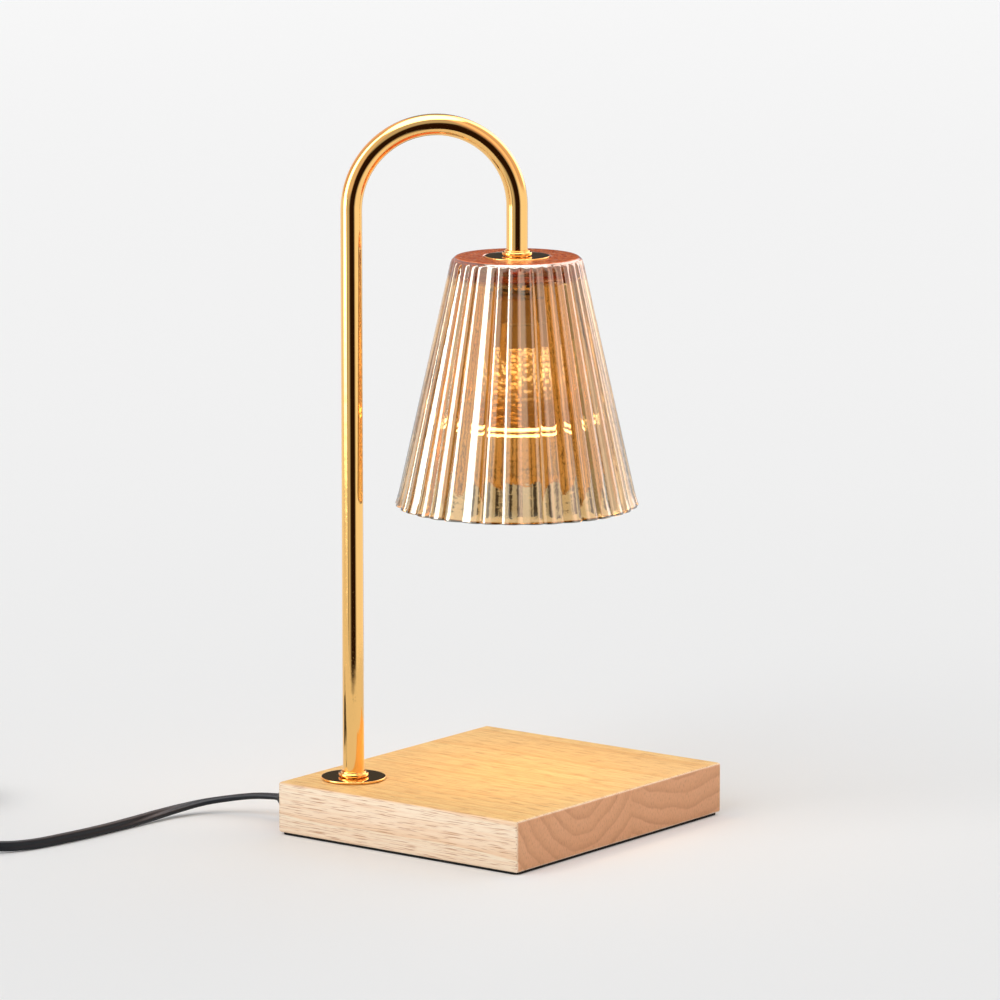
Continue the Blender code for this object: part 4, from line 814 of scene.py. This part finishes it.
def blackVinyl():
    # PVC insulation with a soft sheen from handling
    made, tree, shader = newMaterial("black vinyl", {
        "Base Color": linear("#0B1119"), "IOR": 1.53, "Specular IOR Level": 0.35,
    })
    place = addNode(tree, "ShaderNodeTexCoord").outputs["Object"]
    grain = addNode(tree, "ShaderNodeTexNoise", inputs={"Vector": place, "Scale": 900, "Detail": 3})
    rough = addNode(tree, "ShaderNodeMapRange", inputs={
        "Value": grain.outputs["Fac"], "To Min": 0.32, "To Max": 0.5,
    })
    link(tree, rough.outputs["Result"], shader, "Roughness")
    bump = addNode(tree, "ShaderNodeBump", inputs={
        "Height": grain.outputs["Fac"], "Strength": 0.1, "Distance": 0.0002,
    })
    link(tree, bump.outputs["Normal"], shader, "Normal")
    return made


def speckled(name, sockets, scale, roughness, depth):
    # a plain surface whose fine grain shows in its gloss
    made, tree, shader = newMaterial(name, sockets)
    place = addNode(tree, "ShaderNodeTexCoord").outputs["Object"]
    grain = addNode(tree, "ShaderNodeTexNoise", inputs={"Vector": place, "Scale": scale, "Detail": 3})
    rough = addNode(tree, "ShaderNodeMapRange", inputs={
        "Value": grain.outputs["Fac"], "From Min": 0.3, "From Max": 0.7,
        "To Min": roughness[0], "To Max": roughness[1],
    })
    link(tree, rough.outputs["Result"], shader, "Roughness")
    bump = addNode(tree, "ShaderNodeBump", inputs={
        "Height": grain.outputs["Fac"], "Strength": depth, "Distance": 0.0002,
    })
    link(tree, bump.outputs["Normal"], shader, "Normal")
    return made


reflector = {
    "facetsPerMetre": 480,
    "glowFrom": 0.012,  # over the front
    "glowFull": 0.010,  # under the back
    "facetGlow": (3.2, 0.3),  # at a facet's middle, and between facets
    "seatHeight": 0.002,
    "ringInner": (0.0004, 0.001),  # how far over and under the seat the two rings begin
    "ringOuter": (0.0019, 0.0023),
    "ringGlow": 7.0,
}


def facetedReflector():
    # pressed glass with a vapour-coated mirror; lamp light leaks through its 2 mm facets
    made, tree, shader = newMaterial("coated glass reflector", {
        "Base Color": linear("#E9DFD2"), "Metallic": 0.85, "Roughness": 0.18,
        "Emission Color": linear("#FFEACC"),
    })
    place = addNode(tree, "ShaderNodeTexCoord").outputs["Object"]
    facets = addNode(tree, "ShaderNodeTexVoronoi", inputs={
        "Vector": place, "Scale": reflector["facetsPerMetre"],
    })
    low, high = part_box("bulb_reflector")[0].z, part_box("bulb_reflector")[1].z
    axes = addNode(tree, "ShaderNodeSeparateXYZ", inputs={"Vector": place})
    nearCapsule = addNode(tree, "ShaderNodeMapRange", {"interpolation_type": "SMOOTHSTEP"}, {
        "Value": axes.outputs["Z"],
        "From Min": low + reflector["glowFrom"], "From Max": high - reflector["glowFull"],
    })
    middleGlow, edgeGlow = reflector["facetGlow"]
    spark = addNode(tree, "ShaderNodeMapRange", inputs={
        "Value": facets.outputs["Distance"], "From Min": 0.0, "From Max": 0.55,
        "To Min": middleGlow, "To Max": edgeGlow,
    })
    glow = addNode(tree, "ShaderNodeMath", {"operation": "MULTIPLY"}, {
        0: nearCapsule.outputs["Result"], 1: spark.outputs["Result"],
    })
    # the front rim shines in two thin rings, where the lens seat and the lip catch the beam
    fromSeat = addNode(tree, "ShaderNodeMath", {"operation": "SUBTRACT"}, {
        0: axes.outputs["Z"], 1: low + reflector["seatHeight"],
    })
    offSeat = addNode(tree, "ShaderNodeMath", {"operation": "ABSOLUTE"}, {0: fromSeat.outputs["Value"]})
    begins, full = reflector["ringInner"]
    aboveGap = addNode(tree, "ShaderNodeMapRange", inputs={
        "Value": offSeat.outputs["Value"], "From Min": begins, "From Max": full,
        "To Max": reflector["ringGlow"],
    })
    fades, ends = reflector["ringOuter"]
    belowEnd = addNode(tree, "ShaderNodeMapRange", inputs={
        "Value": offSeat.outputs["Value"], "From Min": fades, "From Max": ends,
        "To Min": 1.0, "To Max": 0.0,
    })
    rim = addNode(tree, "ShaderNodeMath", {"operation": "MULTIPLY"}, {
        0: aboveGap.outputs["Result"], 1: belowEnd.outputs["Result"],
    })
    shine = addNode(tree, "ShaderNodeMath", {"operation": "ADD"}, {
        0: glow.outputs["Value"], 1: rim.outputs["Value"],
    })
    link(tree, shine.outputs["Value"], shader, "Emission Strength")
    bump = addNode(tree, "ShaderNodeBump", inputs={
        "Height": facets.outputs["Distance"], "Strength": 0.5, "Distance": 0.001,
    })
    link(tree, bump.outputs["Normal"], shader, "Normal")
    return made


# Studio: a wide pale floor, an even soft light from the front, a weaker one from behind
# on the right, and big white, pink and dark cards that only polished things mirror

studio = {
    "floorSide": 24.0,
    "floorHeight": -0.0001,
    "tableReach": (0.33, 1.0),  # how much floor polished pieces mirror, in front and to the left
    "leftFrom": (-0.10, 0.0),  # across the view, where the left reach gives way to the front one
    "reachFade": (1.0, 1.2),
    "clothReach": (0.5, 0.98),  # from the lamp to the cloths' near and far edges
    "clothEdge": 0.02,
    "clothStrips": 9,
    "clothTones": ("#4A4C55", "#DDE6F5"),
    "viewTurn": 52.7,  # degrees from the camera's direction round to +X
    "ambient": "#BABABA",
    # metres towards the camera, and the floor's painted tone there, lighter further back for the studio
    # light's fall-off toward the camera
    "floorLightGrade": [
        (-4.2, "#FDFDFD"), (-2.6, "#F9F9F9"), (-1.5, "#F7F7F7"),
        (-0.9, "#F5F5F5"), (-0.2, "#F1F1F1"), (0.35, "#EFEFEF"),
    ],
    # (degrees round to the camera's right, brightness, hue) for mirror rays that go down, and up
    "lowCards": [
        (-180, 0.8, "#FFFFFF"), (-140, 0.95, "#FFFFFF"), (-106, 0.9, "#FFFFFF"), (-96, 0.75, "#FFFFFF"),
        (-84, 5.5, "#FFFFFF"), (-62, 5.5, "#FFFFFF"), (-52, 0.3, "#FFFFFF"), (-44, 0.4, "#FFFFFF"),
        (-36, 0.75, "#FFFFFF"), (-22, 0.35, "#FFFFFF"), (-14, 0.04, "#D09050"), (28, 0.03, "#D09050"),
        (38, 0.7, "#FFFFFF"), (46, 1.05, "#FFFFFF"), (150, 1.0, "#FFFFFF"), (166, 0.35, "#FFFFFF"),
        (180, 0.3, "#FFFFFF"),
    ],
    "highCards": [
        (-180, 0.06, "#FFFFFF"), (-172, 0.06, "#FFFFFF"), (-166, 1.0, "#FFDCD0"), (-100, 0.6, "#FFDCD0"),
        (-88, 5.5, "#FFFFFF"), (-70, 5.5, "#FFFFFF"), (-60, 0.8, "#FFF2EC"), (-22, 0.8, "#FFF2EC"),
        (-13, 0.04, "#D09050"), (29, 0.04, "#D09050"), (43, 0.9, "#FFE0D8"), (58, 1.5, "#FFDCD2"),
        (70, 0.7, "#FFE6DC"), (112, 0.9, "#FFE4DA"), (124, 3.8, "#FFE4DA"), (152, 3.8, "#FFE4DA"),
        (172, 0.06, "#FFFFFF"), (180, 0.06, "#FFFFFF"),
    ],
    # the left card fades toward the floor: (height of the mirror ray, brightness)
    "lowFade": ((-0.168, 1.0), (-0.131, 5.5)),
    # heights of the mirror ray, 0 level and 1 straight up, where each card begins and is full
    "highFrom": (0.0, 0.07),
    "greyCard": (0.31, 0.47),
    "greyBrightness": 0.55,
    "ceiling": (0.84, 0.9),
    "overhead": 4.5,
    "brightest": 5.5,
}


def mirroredRays(tree):
    # 1 for rays that a polished surface mirrors, 0 for the ones that glass lets through
    rays = addNode(tree, "ShaderNodeLightPath")
    through = addNode(tree, "ShaderNodeMath", {"operation": "SUBTRACT"}, {
        0: 1.0, 1: rays.outputs["Is Transmission Ray"],
    })
    mirrored = addNode(tree, "ShaderNodeMath", {"operation": "MULTIPLY"}, {
        0: rays.outputs["Is Glossy Ray"], 1: through.outputs["Value"],
    })
    return mirrored.outputs["Value"]


def makeFloor():
    bm = bmesh.new()
    bmesh.ops.create_grid(bm, x_segments=1, y_segments=1, size=studio["floorSide"] / 2)
    bmesh.ops.translate(bm, verts=bm.verts[:], vec=(0, 0, studio["floorHeight"]))
    mesh = bpy.data.meshes.new("floor")
    bm.to_mesh(mesh)
    bm.free()
    floor = bpy.data.objects.new("floor", mesh)
    bpy.context.scene.collection.objects.link(floor)
    made, tree, shader = newMaterial("pale paper floor", {"Roughness": 0.9, "Specular IOR Level": 0.0})
    place = addNode(tree, "ShaderNodeTexCoord").outputs["Object"]
    # painted light: the floor is made a little lighter further back, standing in for how the studio light
    # falls off toward the camera
    turn = addNode(tree, "ShaderNodeMapping", inputs={
        "Vector": place, "Rotation": (0, 0, math.radians(studio["viewTurn"])),
    })
    away = addNode(tree, "ShaderNodeSeparateXYZ", inputs={"Vector": turn.outputs["Vector"]})
    first, last = studio["floorLightGrade"][0][0], studio["floorLightGrade"][-1][0]
    distance = addNode(tree, "ShaderNodeMapRange", inputs={
        "Value": away.outputs["X"], "From Min": first, "From Max": last,
    })
    tones = addNode(tree, "ShaderNodeValToRGB", inputs={"Fac": distance.outputs["Result"]})
    stops = [((metres - first) / (last - first), tone) for metres, tone in studio["floorLightGrade"]]
    setStops(tones, stops)
    # slate and pale cloths lie behind the lamp, where only its glass sees them
    throughGlass = addNode(tree, "ShaderNodeLightPath").outputs["Is Transmission Ray"]
    nearest, farthest = studio["clothReach"]
    edge = studio["clothEdge"]
    startCloth = addNode(tree, "ShaderNodeMapRange", inputs={
        "Value": away.outputs["X"], "From Min": -farthest, "From Max": -farthest + edge,
    })
    endCloth = addNode(tree, "ShaderNodeMapRange", inputs={
        "Value": away.outputs["X"], "From Min": -nearest - edge, "From Max": -nearest,
        "To Min": 1.0, "To Max": 0.0,
    })
    strips = addNode(tree, "ShaderNodeCombineXYZ", inputs={"Y": away.outputs["Y"]})
    stripNoise = addNode(tree, "ShaderNodeTexNoise", inputs={
        "Vector": strips.outputs["Vector"], "Scale": studio["clothStrips"], "Detail": 2,
    })
    strip = addNode(tree, "ShaderNodeMapRange", inputs={
        "Value": stripNoise.outputs["Fac"], "From Min": 0.47, "From Max": 0.53,
    })
    inBand = addNode(tree, "ShaderNodeMath", {"operation": "MULTIPLY"}, {
        0: startCloth.outputs["Result"], 1: endCloth.outputs["Result"],
    })
    seenBand = addNode(tree, "ShaderNodeMath", {"operation": "MULTIPLY"}, {
        0: inBand.outputs["Value"], 1: throughGlass,
    })
    slate, pale = studio["clothTones"]
    clothTone = addNode(tree, "ShaderNodeMix", {"data_type": "RGBA"}, {
        "Factor": strip.outputs["Result"], "A": linear(slate), "B": linear(pale),
    })
    floorTone = addNode(tree, "ShaderNodeMix", {"data_type": "RGBA"}, {
        "Factor": seenBand.outputs["Value"],
        "A": tones.outputs["Color"], "B": clothTone.outputs["Result"],
    })
    link(tree, floorTone.outputs["Result"], shader, "Base Color")
    # polished pieces mirror the floor near by, and past it the studio's cards
    front, left = studio["tableReach"]
    leftFull, leftNone = studio["leftFrom"]
    onLeft = addNode(tree, "ShaderNodeMapRange", inputs={
        "Value": away.outputs["Y"], "From Min": leftFull, "From Max": leftNone,
        "To Min": 1 / left, "To Max": 1 / front,
    })
    sideways = addNode(tree, "ShaderNodeMath", {"operation": "MULTIPLY"}, {
        0: away.outputs["Y"], 1: onLeft.outputs["Result"],
    })
    forwards = addNode(tree, "ShaderNodeMath", {"operation": "MULTIPLY"}, {
        0: away.outputs["X"], 1: 1 / front,
    })
    scaled = addNode(tree, "ShaderNodeCombineXYZ", inputs={
        "X": forwards.outputs["Value"], "Y": sideways.outputs["Value"],
    })
    reach = addNode(tree, "ShaderNodeVectorMath", {"operation": "LENGTH"}, {
        "Vector": scaled.outputs["Vector"],
    })
    begins, full = studio["reachFade"]
    beyond = addNode(tree, "ShaderNodeMapRange", inputs={
        "Value": reach.outputs["Value"], "From Min": begins, "From Max": full,
    })
    share = addNode(tree, "ShaderNodeMath", {"operation": "MULTIPLY"}, {
        0: mirroredRays(tree), 1: beyond.outputs["Result"],
    })
    clear = addNode(tree, "ShaderNodeBsdfTransparent")
    mixed = addNode(tree, "ShaderNodeMixShader", inputs={
        "Fac": share.outputs["Value"], 1: shader.outputs["BSDF"], 2: clear.outputs["BSDF"],
    })
    tree.links.new(mixed.outputs["Shader"], tree.nodes["Material Output"].inputs["Surface"])
    floor.data.materials.append(made)


def setCards(ramp, cards):
    # a ramp holds colours up to 1, so brightness is kept as a share of the brightest card
    stops = ramp.color_ramp.elements
    while len(stops) < len(cards):
        stops.new(1.0)
    for stop, (degrees, brightness, hue) in zip(stops, cards):
        stop.position = (degrees + 180) / 360
        stop.color = [c * brightness / studio["brightest"] for c in linear(hue)[:3]] + [1.0]


def makeWorld():
    world = bpy.data.worlds.new("studio")
    bpy.context.scene.world = world
    world.use_nodes = True
    tree = world.node_tree
    background = tree.nodes["Background"]
    mirrored = mirroredRays(tree)
    direction = addNode(tree, "ShaderNodeTexCoord").outputs["Generated"]
    turn = addNode(tree, "ShaderNodeMapping", inputs={
        "Vector": direction, "Rotation": (0, 0, math.radians(studio["viewTurn"])),
    })
    axes = addNode(tree, "ShaderNodeSeparateXYZ", inputs={"Vector": turn.outputs["Vector"]})
    bearing = addNode(tree, "ShaderNodeMath", {"operation": "ARCTAN2"}, {
        0: axes.outputs["Y"], 1: axes.outputs["X"],
    })
    share = addNode(tree, "ShaderNodeMapRange", inputs={
        "Value": bearing.outputs["Value"], "From Min": -math.pi, "From Max": math.pi,
    })
    up = axes.outputs["Z"]
    low = addNode(tree, "ShaderNodeValToRGB", inputs={"Fac": share.outputs["Result"]})
    setCards(low, studio["lowCards"])
    high = addNode(tree, "ShaderNodeValToRGB", inputs={"Fac": share.outputs["Result"]})
    setCards(high, studio["highCards"])
    # a grey card high up in front, and a white ceiling
    begins, full = studio["greyCard"]
    front = addNode(tree, "ShaderNodeMapRange", inputs={
        "Value": up, "From Min": begins, "From Max": full,
        "To Max": studio["greyBrightness"] / studio["brightest"],
    })
    begins, full = studio["ceiling"]
    ceiling = addNode(tree, "ShaderNodeMapRange", inputs={
        "Value": up, "From Min": begins, "From Max": full,
    })
    (deep, faded), (shallow, bright) = studio["lowFade"]
    fade = addNode(tree, "ShaderNodeMapRange", inputs={
        "Value": up, "From Min": deep, "From Max": shallow,
        "To Min": faded / studio["brightest"], "To Max": bright / studio["brightest"],
    })
    lowFaded = addNode(tree, "ShaderNodeMix", {"data_type": "RGBA", "blend_type": "DARKEN"}, {
        "Factor": 1.0, "A": low.outputs["Color"], "B": fade.outputs["Result"],
    })
    begins, full = studio["highFrom"]
    raised = addNode(tree, "ShaderNodeMapRange", inputs={
        "Value": up, "From Min": begins, "From Max": full,
    })
    cards = addNode(tree, "ShaderNodeMix", {"data_type": "RGBA"}, {
        "Factor": raised.outputs["Result"], "A": lowFaded.outputs["Result"], "B": high.outputs["Color"],
    })
    withFront = addNode(tree, "ShaderNodeMix", {"data_type": "RGBA", "blend_type": "LIGHTEN"}, {
        "Factor": 1.0, "A": cards.outputs["Result"], "B": front.outputs["Result"],
    })
    top = studio["overhead"] / studio["brightest"]
    withTop = addNode(tree, "ShaderNodeMix", {"data_type": "RGBA"}, {
        "Factor": ceiling.outputs["Result"],
        "A": withFront.outputs["Result"], "B": (top, top, top, 1),
    })
    seen = addNode(tree, "ShaderNodeMix", {"data_type": "RGBA"}, {
        "Factor": mirrored, "A": linear(studio["ambient"]), "B": withTop.outputs["Result"],
    })
    strength = addNode(tree, "ShaderNodeMapRange", inputs={
        "Value": mirrored, "To Min": 1.0, "To Max": studio["brightest"],
    })
    link(tree, seen.outputs["Result"], background, "Color")
    link(tree, strength.outputs["Result"], background, "Strength")


suns = [
    # name, direction it comes from, strength, softness in degrees
    ("soft light front", (-0.19, -1.0, 1.0), 1.25, 50),
    ("soft light behind right", (0.27, 0.96, 1.0), 0.8, 60),
]


def makeLamps():
    for name, source, strength, softness in suns:
        data = bpy.data.lights.new(name, "SUN")
        data.energy = strength
        data.angle = math.radians(softness)
        sun = bpy.data.objects.new(name, data)
        sun.rotation_euler = (-Vector(source)).to_track_quat("-Z", "Y").to_euler()
        sun.location = source
        sun.visible_glossy = False
        bpy.context.scene.collection.objects.link(sun)


beamLight = {
    "watts": 0.4,
    "tone": "#FFC880",
    "spread": 64,  # degrees across
    "radius": 0.02,
    "underBulb": 0.002,
}


def makeBulbGlow():
    # the lit bulb's beam, down onto the base
    data = bpy.data.lights.new("bulb beam", "SPOT")
    data.energy = beamLight["watts"]
    data.color = linear(beamLight["tone"])[:3]
    data.spot_size = math.radians(beamLight["spread"])
    data.spot_blend = 1.0
    data.shadow_soft_size = beamLight["radius"]
    beam = bpy.data.objects.new("bulb beam", data)
    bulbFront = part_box("bulb_reflector")[0].z
    beam.location = (shadeAxis.x, shadeAxis.y, bulbFront - beamLight["underBulb"])
    beam.visible_camera = False
    beam.visible_glossy = False
    bpy.context.scene.collection.objects.link(beam)


makeCamera()
shortCord, shortRoute, longCord, longRoute = makeCords(blackVinyl())
print("cords laid")

gold = goldPlate()
makePole(gold)
makeFittings(gold)
print("pole and its fittings done")

lustred = amberGlass("amber glass with fired lustre", glass["film"])
makeShade(lustred, amberGlass("amber glass", 0), rubyTop())
print("shade done")

for node, name, heart, seed in (
    ("base_stave_near", "rubberwood, near board", wood["nearHeart"], 1),
    ("base_stave_far", "rubberwood, far board", wood["farHeart"], 2),
):
    refined(node, rubberwood(name, heart, seed), edge=0)
print("base done")

# each with its grains per metre, its range of roughness and the grain's depth in the gloss
# stamped steel, zinc-plated: a soft grey shine
steel = speckled("zinc-plated steel", {
    "Base Color": linear("#B9BABC"), "Metallic": 1.0,
}, 1200, (0.25, 0.45), 0.1)
# moulded silicone rubber: milky, with a low sheen
silicone = speckled("clear silicone", {"Base Color": linear("#DAD6CF")}, 800, (0.35, 0.5), 0.05)
# pressed steatite under a clear glaze: warm white, with a soft gloss
ceramic = speckled("glazed steatite", {"Base Color": linear("#ECEAE3")}, 700, (0.28, 0.42), 0.08)
# stamped brass: bright and yellow
brass = speckled("bright brass", {
    "Base Color": linear("#D9B36A"), "Metallic": 1.0,
}, 1500, (0.18, 0.32), 0.05)
mirror = facetedReflector()
# pressed glass with the capsule alight behind it: an even warm white
lens = speckled("lit front lens", {
    "Base Color": linear("#FFE9C4"), "Emission Color": linear("#FFD08A"), "Emission Strength": 6.0,
}, 500, (0.1, 0.2), 0.2)
# silicone drawn over the wire: off-white and matt
leadSkin = speckled("silicone lead", {"Base Color": linear("#DAD5CA")}, 900, (0.4, 0.55), 0.05)
# ABS moulded in a finely sparked tool: near black, satin
plastic = speckled("black moulded ABS", {
    "Base Color": linear("#16171A"), "IOR": 1.54,
}, 1600, (0.34, 0.5), 0.25)
# die-cut foam: dull black, with no highlight
foam = speckled("black foam pad", {"Base Color": linear("#0B0B0B")}, 1500, (0.85, 1.0), 0.6)
# glass-fibre board under green lacquer: glossy, with the weave just felt
boardGreen = speckled("lacquered circuit board", {
    "Base Color": linear("#1E6B38"),
}, 400, (0.3, 0.5), 0.3)
# woven loops and hooks: dull black fuzz
strap = speckled("hook and loop strap", {"Base Color": linear("#1A1A1C")}, 2500, (0.8, 1.0), 0.9)

dress(foam, "base_pad")
for node in (
    "pole_washer", "pole_nut", "neck_nut", "holder_strap", "holder_screw_left",
    "holder_screw_right", "dimmer_dial", "switch_screw_rear", "switch_screw_front",
):
    refined(node, steel)
for node in ("shade_seal_top", "shade_seal_under"):
    refined(node, silicone)
refined("lamp_holder", ceramic)
refined("bulb_base", ceramic, "bulb")
for node in ("contact_left", "contact_right", "plug_blade_narrow", "plug_blade_wide"):
    refined(node, brass)
for node in ("bulb_pin_left", "bulb_pin_right"):
    refined(node, brass, "bulb")
refined("bulb_reflector", mirror, "bulb")
refined("bulb_lens", lens, "bulb", edge=0)
refined("bulb_capsule", lens, "bulb", edge=0)
refined("inner_lead", leadSkin, edge=0)
refined("switch_board", boardGreen)
for node in (
    "strain_relief", "switch_sleeve_out", "switch_sleeve_in",
    "switch_shell_lower", "switch_shell_upper", "plug_body",
):
    refined(node, plastic)
refined("dimmer_wheel", plastic, "dimmer")
refined("cord_tie", strap)
print("small pieces done")

makeFloor()
makeWorld()
makeLamps()
makeBulbGlow()
bpy.context.scene.view_settings.view_transform = "Standard"
print("studio done")
